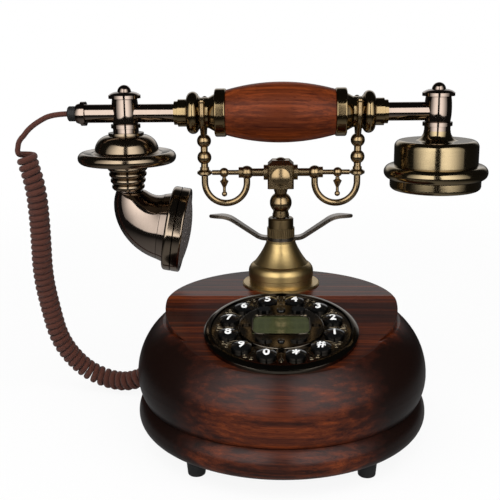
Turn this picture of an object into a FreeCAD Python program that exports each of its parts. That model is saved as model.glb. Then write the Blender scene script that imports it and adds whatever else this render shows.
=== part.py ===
import FreeCAD, Part
import math
import os
import Sketcher

V = FreeCAD.Vector

# Reproduction antique desk telephone, sizes in millimetres.
# X runs to the right of someone facing the dial, Y away from them, Z up.
# The origin is the centre of the turned base, on the plane that its feet stand on.

doc = FreeCAD.newDocument("telephone")


class Size:
    """A number together with the sheet expression that gives it."""

    def __init__(self, number, text):
        self.number = number
        self.text = text

    def __add__(self, other):
        other = sized(other)
        return Size(self.number + other.number, f"({self.text} + {other.text})")

    def __sub__(self, other):
        other = sized(other)
        return Size(self.number - other.number, f"({self.text} - {other.text})")

    def __mul__(self, other):
        other = sized(other)
        return Size(self.number * other.number, f"({self.text} * {other.text})")

    def __truediv__(self, other):
        other = sized(other)
        return Size(self.number / other.number, f"({self.text} / {other.text})")

    def __neg__(self):
        return Size(-self.number, f"(0 - {self.text})")

    __radd__ = __add__
    __rmul__ = __mul__

    def __rsub__(self, other):
        return sized(other) - self


def sized(value):
    return value if isinstance(value, Size) else Size(float(value), f"{float(value):.6f}")


def sine(angle):
    return Size(math.sin(math.radians(angle.number)), f"sin({angle.text})")


def cosine(angle):
    return Size(math.cos(math.radians(angle.number)), f"cos({angle.text})")


def root(value):
    return Size(math.sqrt(value.number), f"sqrt({value.text})")


# Driving sizes, in the order of the pieces that they shape.
SIZES = {
    # wooden base
    "case_radius": 101.0,
    "case_waist_height": 34.6,
    "case_waist_inset": 4.0,
    "bulge_height": 50.0,
    "shoulder_drop": 12.1,
    "shoulder_inset": 18.5,
    "platform_inset": 20.5,
    "platform_height": 99.1,
    "platform_edge": 1.2,
    "cavity_inset": 13.0,
    "cavity_side_height": 54.0,
    "cavity_top_inset": 37.0,
    "cavity_top_drop": 22.1,
    "facet_slope": 11.15,
    "facet_start": 9.0,
    "plinth_proud": 0.2,
    "plinth_round_height": 22.5,
    "plinth_bottom": 13.0,
    "plinth_foot_inset": 5.6,
    "plinth_neck_inset": 6.2,
    "plinth_bore_inset": 14.2,
    "cover_inset": 9.7,
    "cover_thickness": 3.0,
    "slip_clearance": 0.3,
    "foot_inset": 16.55,
    "foot_angle": 49.12,
    "foot_top_radius": 6.9,
    "foot_tip_radius": 5.8,
    "foot_tip_round": 1.0,
    "foot_peg_radius": 2.5,
    "foot_screw_radius": 1.6,
    "screw_inset": 33.2,
    "screw_post_radius": 5.0,
    "screw_head_radius": 2.6,
    "screw_head_height": 1.6,
    "screw_shank_radius": 1.4,
    "screw_length": 9.0,
    "sound_slot_pitch": 7.0,
    "sound_slot_width": 3.0,
    "sound_slot_length": 36.0,
    # pedestal
    "pedestal_back": 42.6,
    "washer_radius": 28.5,
    "washer_thickness": 1.5,
    "skirt_radius": 23.4,
    "skirt_height": 4.2,
    "bell_radius": 23.9,
    "bell_side_height": 8.4,
    "bell_shoulder_radius": 20.0,
    "bell_shoulder_height": 14.5,
    "cone_sweep_radius": 60.0,
    "cone_neck_radius": 10.6,
    "cone_lip_radius": 10.9,
    "cone_lip_thickness": 1.4,
    "cone_wall": 2.0,
    "arm_thickness": 2.6,
    "arm_ring_radius": 10.2,
    "arm_reach": 52.6,
    "arm_rise": 16.3,
    "arm_slope": 34.0,
    "arm_bend_start": 11.0,
    "arm_root_bend": 12.0,
    "arm_tip_bend": 18.0,
    "arm_leaf_out": 36.0,
    "arm_point_radius": 32.0,
    "arm_root_width": 7.0,
    "arm_leaf_width": 10.0,
    "nut_radius": 10.1,
    "nut_height": 6.6,
    "knurl_depth": 0.35,
    "knurl_count": 32,
    "collar_bevel": 0.8,
    "guide_radius": 6.2,
    "guide_flange_radius": 10.0,
    "guide_collar_radius": 9.25,
    "guide_collar_height": 7.4,
    "guide_flange_thickness": 5.0,
    "running_clearance": 0.05,
    # cradle
    "plunger_radius": 3.5,
    "plunger_below_guide": 12.0,
    "plunger_foot_radius": 6.0,
    "plunger_foot_height": 3.0,
    "stem_ring_radius": 6.1,
    "stem_ring_drop": 9.9,
    "stem_ring_gap": 1.2,
    "stem_ring_height": 2.0,
    "stem_ball_radius": 8.0,
    "stem_ball_drop": 11.3,
    "stem_neck_low_radius": 5.6,
    "stem_neck_top_radius": 4.3,
    "hub_drop": 10.9,
    "hub_width": 18.8,
    "hub_height": 17.0,
    "hub_chamfer": 3.2,
    "hub_edge": 1.1,
    "hub_panel_width": 14.6,
    "hub_panel_depth": 0.7,
    "hub_boss_radius": 6.5,
    "hub_boss_rise": 1.2,
    "hub_cap_radius": 4.0,
    "hub_cap_height": 1.6,
    "rod_drop": 43.0,
    "rod_collar_radius": 5.5,
    "rod_collar_width": 2.9,
    "rod_inner_radius": 2.9,
    "rod_ball_radius": 4.9,
    "rod_ball_out": 24.5,
    "rod_outer_collar_radius": 3.9,
    "rod_outer_collar_width": 2.0,
    "rod_thin_radius": 1.8,
    "rod_bead_radius": 3.5,
    "rod_bead_out": 41.0,
    "hook_rod_radius": 2.4,
    "hook_straight": 5.0,
    "post_out": 55.1,
    "post_bead_radius": 5.4,
    "post_bead_height": 4.4,
    "post_bead_flat": 1.6,
    "post_collar_radius": 3.3,
    "post_collar_height": 1.8,
    "post_neck_radius": 2.6,
    "post_ball_radius": 5.1,
    "post_ball_drop": 31.9,
    "knuckle_radius": 5.1,
    "knuckle_drop": 20.0,
    "drop_neck_radius": 1.5,
    "drop_flare_radius": 3.2,
    "drop_flare_drop": 6.3,
    "drop_waist_radius": 1.1,
    "drop_waist_drop": 10.8,
    "drop_ball_radius": 2.0,
    "drop_ball_drop": 15.7,
    "fork_rod_radius": 2.0,
    "fork_tip_radius": 2.3,
    "fork_tip_rise": 8.7,
    # handset
    "handset_rise": 126.2,
    "tube_radius": 6.55,
    "tube_bore_radius": 5.0,
    "tube_left_end": 139.5,
    "tube_right_end": 107.0,
    "grip_half_length": 38.6,
    "grip_end_radius": 16.1,
    "grip_middle_radius": 21.4,
    "ferrule_width": 8.2,
    "ferrule_radius": 17.1,
    "ferrule_round": 1.4,
    "ferrule_flank_radius": 13.4,
    "waist_radius": 10.9,
    "waist_start": 51.3,
    "waist_end": 57.4,
    "bead_start": 58.8,
    "bead_flank_radius": 12.6,
    "bead_peak": 62.4,
    "bead_radius": 15.0,
    "bead_end": 66.8,
    "bead_foot_radius": 9.9,
    "neck_step_radius": 9.7,
    "neck_step_end": 73.0,
    "neck_ring_radius": 8.4,
    "neck_ring_end": 75.8,
    "end_ring_radius": 8.6,
    "end_ring_width": 3.3,
    "end_bead_radius": 7.4,
    "end_bead_width": 3.4,
    "end_bead_round": 0.9,
    "end_spigot_length": 8.0,
    "boot_radius": 5.4,
    "boot_length": 6.1,
    "boot_edge": 0.8,
    "tee_out": 111.2,
    "tee_barrel_radius": 9.6,
    "tee_barrel_end_radius": 8.9,
    "tee_foot_radius": 9.2,
    "tee_flange_radius": 11.4,
    "tee_flange_height": 11.8,
    "tee_flange_thickness": 2.2,
    "tee_dome_radius": 4.9,
    "tee_dome_base": 15.2,
    "tee_hat_radius": 9.0,
    "tee_ring_drop": 8.9,
    "tee_ring_radius": 10.5,
    "tee_ring_height": 2.6,
    "tee_bottom_drop": 13.6,
    # mouthpiece
    "bell_collar_radius": 12.7,
    "bell_collar_height": 1.6,
    "bell_dome_radius": 23.0,
    "bell_dome_drop": 26.6,
    "bell_step_radius": 25.8,
    "bell_step_depth": 1.2,
    "bell_rim_radius": 35.4,
    "bell_rim_drop": 31.4,
    "bell_rim_half_thickness": 4.2,
    "bell_neck_step": 1.0,
    "bell_thread_depth": 1.1,
    "bell_neck_radius": 14.2,
    "bell_neck_low_radius": 11.6,
    "bell_neck_bottom_drop": 55.0,
    "bell_thread_rings": 4,
    "horn_throat": 1.2,
    "horn_start_radius": 9.1,
    "horn_bend_radius": 27.0,
    "horn_turn": 80.4,
    "horn_lead": 1.7,
    "horn_swell": 1.2,
    "horn_bend_end_radius": 24.1,
    "horn_flare_length": 6.2,
    "horn_end_radius": 25.9,
    "horn_wall": 1.6,
    "cap_radius": 31.2,
    "cap_rear_radius": 27.4,
    "cap_ring_width": 5.6,
    "cap_width": 12.4,
    "cap_groove_depth": 0.9,
    "cap_rim_radius": 30.0,
    "cap_dome_height": 4.2,
    "cap_wall": 1.8,
    "grille_hole_radius": 0.9,
    "grille_rings": 3,
    "grille_pitch": 6.6,
    "capsule_height": 6.0,
    # earpiece
    "flare_top_radius": 9.4,
    "flare_foot_radius": 15.1,
    "drum_top_drop": 20.4,
    "drum_radius": 29.8,
    "drum_round": 4.5,
    "drum_bottom_drop": 37.8,
    "drum_ring_radius": 36.9,
    "drum_ring_half_height": 5.0,
    "ear_wall": 2.0,
    "ear_cap_radius": 32.4,
    "ear_cap_height": 7.6,
    "ear_cap_round": 3.0,
    "ear_dish_radius": 24.0,
    "ear_dish_depth": 2.0,
    "ear_grille_thickness": 2.0,
    "ear_ring_holes": 6,
    "ear_spigot_height": 5.0,
    # dial, measured square to the sloping facet
    "dial_down": 49.8,
    "bezel_radius": 50.6,
    "bezel_height": 4.0,
    "bezel_rim_height": 2.2,
    "bezel_inner_radius": 46.0,
    "bezel_ledge_radius": 44.4,
    "bezel_ledge_height": 1.0,
    "dial_hole_radius": 44.6,
    "plate_thickness": 2.0,
    "plate_skirt_radius": 44.1,
    "plate_skirt_wall": 1.5,
    "key_ring_radius": 35.4,
    "key_radius": 6.4,
    "key_height": 3.6,
    "key_edge_height": 1.8,
    "key_flange_radius": 6.95,
    "key_flange_thickness": 1.5,
    "key_travel": 1.5,
    "key_clearance": 0.2,
    "frame_radius": 28.2,
    "frame_height": 1.8,
    "frame_edge": 0.8,
    "window_width": 37.4,
    "window_depth": 24.0,
    "window_up": 1.2,
    "glass_recess": 0.6,
    "well_out": 22.9,
    "well_radius": 2.9,
    "well_depth": 1.2,
    "oval_key_out": 11.6,
    "oval_key_up": 20.3,
    "oval_key_length": 9.0,
    "oval_key_width": 6.0,
    "round_key_radius": 2.9,
    "lens_key_out": 11.2,
    "lens_key_down": 18.2,
    "lens_key_length": 11.0,
    "lens_key_tilt": 14.0,
    "lens_upper_radius": 26.0,
    "lens_lower_radius": 7.0,
    "small_key_radius": 2.2,
    "small_key_down": 19.8,
    "function_key_height": 3.0,
    "function_flange_lip": 0.9,
    "mat_thickness": 2.0,
    "board_thickness": 1.6,
    # inside the base
    "main_board_length": 80.0,
    "main_board_width": 62.0,
    "main_board_back": 18.0,
    "standoff_radius": 3.0,
    "standoff_height": 8.0,
    "speaker_radius": 25.0,
    "speaker_magnet_radius": 14.0,
    "speaker_rim_height": 2.0,
    "speaker_basket_height": 6.0,
    "speaker_height": 12.0,
    "speaker_front": 52.0,
    "switch_length": 20.0,
    "switch_width": 8.0,
    "switch_height": 10.0,
    "switch_boss_radius": 3.0,
    "switch_boss_height": 3.0,
    "spring_radius": 4.6,
    "spring_wire_radius": 0.5,
    "spring_turns": 6,
    "jack_width": 12.0,
    "jack_height": 11.0,
    "jack_depth": 16.0,
    "jack_centre_height": 22.0,
    "jack_setback": 1.5,
    "line_port_width": 10.0,
    "handset_port_width": 8.2,
    "port_height": 7.4,
    "port_depth": 11.0,
    "handset_jack_angle": 149.5,
    "line_jack_angle": 90.0,
    # cord
    "cord_radius": 1.95,
    "coil_radius": 7.7,
    "curl_pitch": 4.5,
    "curl_lead": 5.5,
    "plug_width": 7.6,
    "plug_height": 6.6,
    "plug_length": 13.0,
    "plug_run": 14.0,
}

sheet = doc.addObject("Spreadsheet::Sheet", "Sizes")
for row, (alias, number) in enumerate(SIZES.items(), start=1):
    sheet.set(f"A{row}", alias)
    sheet.set(f"B{row}", str(number))
    sheet.setAlias(f"B{row}", alias)
doc.recompute()


def size(alias):
    """The driving size of that name, as read back from the sheet."""
    return Size(float(getattr(sheet, alias)), f"Sizes.{alias}")


def bind(obj, prop, value):
    """Tie a property to a size, or set it where the value is a plain number."""
    if isinstance(value, Size):
        obj.setExpression(prop, value.text)


def place(obj, x=0, y=0, z=0, axis=V(1, 0, 0), turn=0):
    """Put an object at x, y, z, turned about one axis by an angle in degrees."""
    spot = V(sized(x).number, sized(y).number, sized(z).number)
    obj.Placement = FreeCAD.Placement(spot, FreeCAD.Rotation(axis, sized(turn).number))
    for name, value in (("x", x), ("y", y), ("z", z)):
        bind(obj, f"Placement.Base.{name}", value)
    bind(obj, "Placement.Rotation.Angle", turn)


PARTS = []


def new_body(label):
    body = doc.addObject("PartDesign::Body", label)
    body.Label = label
    PARTS.append(body)
    return body


def origin_plane(body, role):
    return next(item for item in body.Origin.OriginFeatures if item.Role == role)


def new_sketch(body, plane, lift=0, shift_x=0, shift_y=0, axis=V(1, 0, 0), turn=0):
    """A sketch on an origin plane, moved within the plane, along its normal, or turned."""
    sketch = body.newObject("Sketcher::SketchObject", f"{body.Label}_outline")
    sketch.AttachmentSupport = [(origin_plane(body, plane), "")]
    sketch.MapMode = "FlatFace"
    spot = V(sized(shift_x).number, sized(shift_y).number, sized(lift).number)
    sketch.AttachmentOffset = FreeCAD.Placement(spot, FreeCAD.Rotation(axis, sized(turn).number))
    for name, value in (("x", shift_x), ("y", shift_y), ("z", lift)):
        bind(sketch, f"AttachmentOffset.Base.{name}", value)
    bind(sketch, "AttachmentOffset.Rotation.Angle", turn)
    return sketch


def dimension(sketch, kind, where, value):
    """One dimension of a sketch, tied to its size."""
    value = sized(value)
    index = sketch.addConstraint(Sketcher.Constraint(kind, *where, value.number))
    sketch.setExpression(f"Constraints[{index}]", value.text)


def pin_point(sketch, geometry, end, across, up):
    """Hold one end of a line or arc at its two distances from the sketch's origin."""
    for kind, value, axis in (("DistanceX", across, -2), ("DistanceY", up, -1)):
        if abs(sized(value).number) < 1e-9:
            sketch.addConstraint(Sketcher.Constraint("PointOnObject", geometry, end, axis))
        else:
            dimension(sketch, kind, (-1, 1, geometry, end), value)


def draw_chain(sketch, points, closed=True):
    """Join points (across, up, bend) by lines, and by arcs of radius bend where it is given.
    A positive bend turns anticlockwise from its point to the next, a negative one clockwise."""
    count = len(points)
    spots = [V(sized(p[0]).number, sized(p[1]).number, 0) for p in points]
    ends = []
    for i in range(count if closed else count - 1):
        a, b = spots[i], spots[(i + 1) % count]
        bend = points[i][2] if len(points[i]) > 2 else None
        if bend is None:
            index = sketch.addGeometry(Part.LineSegment(a, b), False)
            ends.append((index, 1, 2))
            continue
        radius = abs(sized(bend).number)
        anticlockwise = sized(bend).number > 0
        first, last = (a, b) if anticlockwise else (b, a)
        chord = last - first
        reach = math.sqrt(max(radius ** 2 - chord.Length ** 2 / 4, 0))
        centre = (first + last) * 0.5 + V(-chord.y, chord.x, 0) * (reach / chord.Length)
        start = math.atan2(first.y - centre.y, first.x - centre.x)
        stop = math.atan2(last.y - centre.y, last.x - centre.x)
        arc = Part.ArcOfCircle(Part.Circle(centre, V(0, 0, 1), radius), start, stop)
        index = sketch.addGeometry(arc, False)
        ends.append((index, 1, 2) if anticlockwise else (index, 2, 1))
        dimension(sketch, "Radius", (index,), bend if anticlockwise else -sized(bend))
    for i in range(len(ends) if closed else len(ends) - 1):
        here, after = ends[i], ends[(i + 1) % len(ends)]
        sketch.addConstraint(Sketcher.Constraint("Coincident", here[0], here[2], after[0], after[1]))
    for i, point in enumerate(points):
        geometry, end = (ends[i][0], ends[i][1]) if i < len(ends) else (ends[-1][0], ends[-1][2])
        pin_point(sketch, geometry, end, point[0], point[1])
    return sketch


def draw_circles(sketch, circles):
    """Full circles given as (across, up, radius)."""
    for across, up, radius in circles:
        spot = V(sized(across).number, sized(up).number, 0)
        index = sketch.addGeometry(Part.Circle(spot, V(0, 0, 1), sized(radius).number), False)
        dimension(sketch, "Radius", (index,), radius)
        pin_point(sketch, index, 3, across, up)
    return sketch


def revolve(body, sketch, axis="V_Axis", kind="PartDesign::Revolution"):
    feature = body.newObject(kind, f"{body.Label}_turning")
    feature.Profile = sketch
    feature.ReferenceAxis = (sketch, [axis])
    feature.Angle = 360
    return feature


def turned(label, points, axis="V_Axis"):
    """A body turned from one outline about the sketch's upright (Z) or level (X) axis."""
    body = new_body(label)
    sketch = draw_chain(new_sketch(body, "XZ_Plane"), points)
    revolve(body, sketch, axis)
    return body


def pad(body, sketch, length, both_ways=False):
    feature = body.newObject("PartDesign::Pad", f"{body.Label}_pad")
    feature.Profile = sketch
    feature.Length = sized(length).number
    bind(feature, "Length", length)
    feature.Midplane = both_ways
    return feature


def pocket(body, sketch, depth=None):
    """Cut a sketch into a body: through it both ways, or to a depth against the normal."""
    feature = body.newObject("PartDesign::Pocket", f"{body.Label}_pocket")
    feature.Profile = sketch
    if depth is None:
        feature.Type = 1
        feature.Midplane = True
    else:
        feature.Length = sized(depth).number
        bind(feature, "Length", depth)
    return feature


def ring_of(body, feature, count):
    """Repeat a feature round the body's upright axis."""
    pattern = body.newObject("PartDesign::PolarPattern", f"{body.Label}_ring")
    pattern.Originals = [feature]
    pattern.Axis = (origin_axis(body, "Z_Axis"), [""])
    pattern.Angle = 360
    pattern.Occurrences = count
    body.Tip = pattern
    return pattern


def origin_axis(body, role):
    return next(item for item in body.Origin.OriginFeatures if item.Role == role)


def mirrored(body, features, plane):
    feature = body.newObject("PartDesign::Mirrored", f"{body.Label}_mirror")
    feature.Originals = features
    feature.MirrorPlane = (origin_plane(body, plane), [""])
    body.Tip = feature
    return feature


def group_of(label, pieces):
    """Separate like solids held as one part."""
    for piece in pieces:
        if piece in PARTS:
            PARTS.remove(piece)
    group = doc.addObject("Part::Compound", label)
    group.Label = label
    group.Links = pieces
    PARTS.append(group)


def mirror_image(source, label, normal):
    copy = doc.addObject("Part::Mirroring", label)
    copy.Source = source
    copy.Normal = normal
    return copy


def pair(label, source):
    """The piece and its mirror image across the middle plane, as two solids of one part."""
    source.Label = f"{label}_right"
    group_of(label, [source, mirror_image(source, f"{label}_left", V(1, 0, 0))])


def four(label, source):
    """Four like solids, one at each corner about the upright axis."""
    source.Label = f"{label}_one"
    left = mirror_image(source, f"{label}_left", V(1, 0, 0))
    front = mirror_image(source, f"{label}_front", V(0, 1, 0))
    across = mirror_image(left, f"{label}_across", V(0, 1, 0))
    group_of(label, [source, left, front, across])


def sphere_on(radius, height, low, top):
    """Outline points of a ball on a stem that is low wide below it and top wide above it."""
    drop = root(radius * radius - low * low)
    rise = root(radius * radius - top * top)
    return [(low, height - drop, radius), (radius, height, radius), (top, height + rise)]


def crown(half_width, rise):
    """Radius of the arc that rises so much over so wide a half chord."""
    return (half_width * half_width + rise * rise) / (rise * 2)


# Heights and places that several pieces share.
slope = size("facet_slope")
dial_y = size("facet_start") - size("dial_down") * cosine(slope)
back = size("pedestal_back")
platform_z = size("platform_height")
cavity_z = platform_z - size("cavity_top_drop")
shoulder_z = platform_z - size("shoulder_drop")
dial_z = platform_z - size("dial_down") * sine(slope)
handset_z = platform_z + size("handset_rise")
rod_z = handset_z - size("rod_drop")
hub_bottom = rod_z - size("hub_drop")
stem_ball_z = hub_bottom - size("stem_ball_drop")
stem_ring = stem_ball_z - size("stem_ring_drop")
knuckle_z = handset_z - size("knuckle_drop")
case = size("case_radius")
platform = case - size("platform_inset")
cavity = case - size("cavity_inset")
plinth = case + size("plinth_proud")
plinth_bore = plinth - size("plinth_bore_inset")
cover_radius = plinth - size("cover_inset")
slip = size("slip_clearance")
run = size("running_clearance")
waist_z = size("case_waist_height")
cover_top = size("plinth_bottom") + size("cover_thickness")
washer_top = platform_z + size("washer_thickness")
collar_top = stem_ring - size("stem_ring_gap")
nut_top = collar_top - size("guide_collar_height")
arm_top = nut_top - size("nut_height")
cone_top = arm_top - size("arm_thickness")
guide_bottom = cavity_z - size("guide_flange_thickness")
plunger_bottom = guide_bottom - size("plunger_below_guide")
board_bottom = cover_top + size("standoff_height")
board_top = board_bottom + size("board_thickness")
screw_side = (plinth - size("screw_inset")) * cosine(sized(45))


# Turned wooden base: the upper case with its flat platform, sloping dial facet and cavity.
upper = turned("upper_case", [
    (cavity, waist_z),
    (case - size("case_waist_inset"), waist_z,
     crown(size("bulge_height") - waist_z, size("case_waist_inset"))),
    (case, size("bulge_height"), crown(shoulder_z - size("bulge_height"), size("shoulder_inset"))),
    (case - size("shoulder_inset"), shoulder_z),
    (platform, shoulder_z),
    (platform, platform_z - size("platform_edge"), size("platform_edge")),
    (platform - size("platform_edge"), platform_z),
    (0, platform_z),
    (0, cavity_z),
    (case - size("cavity_top_inset"), cavity_z),
    (cavity, size("cavity_side_height")),
])
facet_reach = case + size("facet_start")
facet_end = size("facet_start") - facet_reach * cosine(slope)
pocket(upper, draw_chain(new_sketch(upper, "YZ_Plane"), [
    (size("facet_start"), platform_z),
    (size("facet_start"), platform_z + size("platform_edge")),
    (facet_end, platform_z + size("platform_edge")),
    (facet_end, platform_z - facet_reach * sine(slope)),
]))
pocket(upper, draw_circles(
    new_sketch(upper, "XY_Plane", lift=dial_z, shift_y=dial_y, turn=slope),
    [(0, 0, size("dial_hole_radius"))]))
pocket(upper, draw_circles(new_sketch(upper, "XY_Plane"), [(0, back, size("guide_radius") + run)]))
screw_corners = [(screw_side * i, screw_side * j) for i in (-1, 1) for j in (-1, 1)]
post_room = cavity_z - cover_top
pad(upper, draw_circles(new_sketch(upper, "XY_Plane", lift=cover_top),
                        [(x, y, size("screw_post_radius")) for x, y in screw_corners]), post_room)
pocket(upper, draw_circles(new_sketch(upper, "XY_Plane", lift=cover_top + size("screw_length")),
                           [(x, y, size("screw_shank_radius") + run) for x, y in screw_corners]),
       size("screw_length"))

# Plinth ring under the case, recessed below for the cover, with a window for each socket.
lower = turned("lower_case", [
    (plinth_bore, cover_top),
    (cover_radius + slip, cover_top),
    (cover_radius + slip, size("plinth_bottom")),
    (plinth - size("plinth_foot_inset"), size("plinth_bottom"),
     crown(size("plinth_round_height") - size("plinth_bottom"), size("plinth_foot_inset"))),
    (plinth, size("plinth_round_height"),
     crown(waist_z - size("plinth_round_height"), size("plinth_neck_inset"))),
    (plinth - size("plinth_neck_inset"), waist_z),
    (plinth_bore, waist_z),
])


def box_outline(width, height, centre=0):
    """Corners of an upright rectangle about a centre at a height."""
    half, low, top = sized(width) / 2, centre - sized(height) / 2, centre + sized(height) / 2
    return [(-half, low), (half, low), (half, top), (-half, top)]


jack_face = plinth - size("jack_setback")
jack_window = size("jack_width") + slip * 2
for angle in (size("handset_jack_angle"), size("line_jack_angle")):
    window = draw_chain(
        new_sketch(lower, "YZ_Plane", axis=V(0, 1, 0), turn=angle),
        box_outline(jack_window, size("jack_height") + slip * 2, size("jack_centre_height")))
    pocket(lower, window, plinth + slip).Reversed = True

# Flat cover in the plinth's recess: sound slots, screw holes, foot holes and board bosses.
cover = turned("bottom_cover", [
    (0, size("plinth_bottom")),
    (cover_radius, size("plinth_bottom")),
    (cover_radius, cover_top),
    (0, cover_top),
])
board_back = size("main_board_back")
boss_x = size("main_board_length") / 2 - size("standoff_radius")
boss_y = size("main_board_width") / 2 - size("standoff_radius")
pad(cover, draw_circles(new_sketch(cover, "XY_Plane", lift=cover_top), [
    (boss_x * i, board_back + boss_y * j, size("standoff_radius")) for i in (-1, 1) for j in (-1, 1)]),
    size("standoff_height"))
pocket(cover, draw_circles(new_sketch(cover, "XY_Plane"), [
    (x, y, size("screw_shank_radius") + slip) for x, y in screw_corners]))
foot_out = plinth - size("foot_inset")
foot_x, foot_y = foot_out * cosine(size("foot_angle")), foot_out * sine(size("foot_angle"))
pocket(cover, draw_circles(new_sketch(cover, "XY_Plane"), [
    (foot_x * i, foot_y * j, size("foot_peg_radius") + run)
    for i in (-1, 1) for j in (-1, 1)]))
for i in range(-2, 3):
    slot_x = size("sound_slot_pitch") * i
    half = size("sound_slot_width") / 2
    length = size("sound_slot_length") - size("sound_slot_pitch") * abs(i)
    front = -size("speaker_front")
    pocket(cover, draw_chain(new_sketch(cover, "XY_Plane"), [
        (slot_x - half, front - length / 2), (slot_x + half, front - length / 2),
        (slot_x + half, front + length / 2), (slot_x - half, front + length / 2)]))

foot = turned("rubber_feet", [
    (size("foot_screw_radius"), 0),
    (size("foot_tip_radius") - size("foot_tip_round"), 0, size("foot_tip_round")),
    (size("foot_tip_radius"), size("foot_tip_round")),
    (size("foot_top_radius"), size("plinth_bottom")),
    (size("foot_peg_radius"), size("plinth_bottom")),
    (size("foot_peg_radius"), cover_top),
    (0, cover_top),
    (0, size("plinth_bottom") - size("foot_tip_round")),
    (size("foot_screw_radius"), size("plinth_bottom") - size("foot_tip_round")),
])
place(foot, x=foot_x, y=foot_y)

screw = turned("cover_screws", [
    (0, size("plinth_bottom") - size("screw_head_height")),
    (size("screw_head_radius") / 2, size("plinth_bottom") - size("screw_head_height")),
    (size("screw_head_radius"), size("plinth_bottom") - size("screw_head_height") / 2),
    (size("screw_head_radius"), size("plinth_bottom")),
    (size("screw_shank_radius"), size("plinth_bottom")),
    (size("screw_shank_radius"), size("plinth_bottom") + size("screw_length")),
    (0, size("plinth_bottom") + size("screw_length")),
])
place(screw, x=screw_side, y=screw_side)


four("rubber_feet", foot)
four("cover_screws", screw)

# Inside the base: loudspeaker over the slots, hook switch under the plunger, its spring.
speaker = turned("ringer_speaker", [
    (0, cover_top),
    (size("speaker_radius"), cover_top),
    (size("speaker_radius"), cover_top + size("speaker_rim_height")),
    (size("speaker_magnet_radius"), cover_top + size("speaker_basket_height")),
    (size("speaker_magnet_radius"), cover_top + size("speaker_height")),
    (0, cover_top + size("speaker_height")),
])
place(speaker, y=-size("speaker_front"))

switch = new_body("hook_switch")
pad(switch, draw_chain(new_sketch(switch, "XY_Plane", lift=board_top), [
    (-size("switch_length") / 2, -size("switch_width") / 2),
    (size("switch_length") / 2, -size("switch_width") / 2),
    (size("switch_length") / 2, size("switch_width") / 2),
    (-size("switch_length") / 2, size("switch_width") / 2)]), size("switch_height"))
switch_top = board_top + size("switch_height")
pad(switch, draw_circles(new_sketch(switch, "XY_Plane", lift=switch_top),
                         [(0, 0, size("switch_boss_radius"))]), size("switch_boss_height"))
place(switch, y=back)


def biarc_line(points, tangents):
    """One line through points, each joined to the next by two arcs tangent to its direction."""
    edges = []
    for a, b, u, w in zip(points, points[1:], tangents, tangents[1:]):
        chord = b - a
        both = u + w
        curve = 2 * (u.dot(w) - 1)
        push = chord.dot(both)
        if abs(curve) < 1e-12:
            reach = chord.dot(chord) / (2 * push)
        else:
            reach = (push - math.sqrt(push * push - curve * chord.dot(chord))) / curve
        corner_a = a + u * reach
        corner_b = b - w * reach
        joint = (corner_a + corner_b) * 0.5
        for first, corner, last in ((a, corner_a, joint), (joint, corner_b, b)):
            middle = (first + last) * 0.5
            spread = (last - first).Length / 2
            lean = (corner - middle).Length
            if lean < spread * 1e-6:
                edges.append(Part.LineSegment(first, last).toShape())
                continue
            side = (corner - first).Length
            bow = spread * (side - spread) / lean
            edges.append(Part.Arc(first, middle + (corner - middle) * (bow / lean), last).toShape())
    return Part.Wire(edges)


def wire_tube(line, ahead, radius):
    """A six-sided wire along a line that sets out in a direction."""
    start = line.OrderedVertexes[0].Point
    across = ahead.cross(V(0, 1, 0)).normalize()
    corners = []
    for i in range(7):
        corners.append(start + FreeCAD.Rotation(ahead, 60 * i).multVec(across) * radius)
    return line.makePipeShell([Part.makePolygon(corners)], True, False)


def helix_points(foot_point, height, radius, turns):
    """Points and directions at each quarter turn of an upright helix."""
    points, ways = [], []
    for i in range(turns * 4 + 1):
        angle = math.pi / 2 * i
        points.append(foot_point + V(radius * math.cos(angle), radius * math.sin(angle),
                                     height * i / (turns * 4)))
        way = V(-math.sin(angle), math.cos(angle), height / (turns * 2 * math.pi * radius))
        ways.append(way.normalize())
    return points, ways


def shaped(label, shape):
    part = doc.addObject("Part::Feature", label)
    part.Label = label
    part.Shape = shape
    PARTS.append(part)
    return part


wire_radius = size("spring_wire_radius").number
spring_foot = V(0, back.number, switch_top.number + wire_radius)
spring_height = plunger_bottom.number - switch_top.number - wire_radius * 2
spring_points, spring_ways = helix_points(
    spring_foot, spring_height, size("spring_radius").number, int(SIZES["spring_turns"]))
shaped("hook_spring", wire_tube(biarc_line(spring_points, spring_ways), spring_ways[0], wire_radius))

# Sockets of the handset cord and the line cord, in the plinth's windows.
jacks = []
for name, angle, port_width in (("handset", size("handset_jack_angle"), size("handset_port_width")),
                                ("line", size("line_jack_angle"), size("line_port_width"))):
    jack = new_body(f"{name}_jack")
    centre = size("jack_centre_height")
    pad(jack, draw_chain(new_sketch(jack, "YZ_Plane", lift=jack_face - size("jack_depth")),
                         box_outline(size("jack_width"), size("jack_height"), centre)),
        size("jack_depth"))
    pocket(jack, draw_chain(new_sketch(jack, "YZ_Plane", lift=jack_face),
                            box_outline(port_width, size("port_height"), centre)),
           size("port_depth"))
    place(jack, axis=V(0, 0, 1), turn=angle)
    jacks.append(jack)
group_of("modular_jacks", jacks)

# Pedestal: washer, spun cone, leaf-shaped arms, knurled nut, and the tube that guides the plunger.
washer = turned("pedestal_washer", [
    (size("guide_radius") + run, platform_z),
    (size("washer_radius"), platform_z),
    (size("washer_radius"), platform_z + size("washer_thickness") / 2),
    (size("washer_radius") - size("washer_thickness") / 2, washer_top),
    (size("guide_radius") + run, washer_top),
])
place(washer, y=back)

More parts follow.
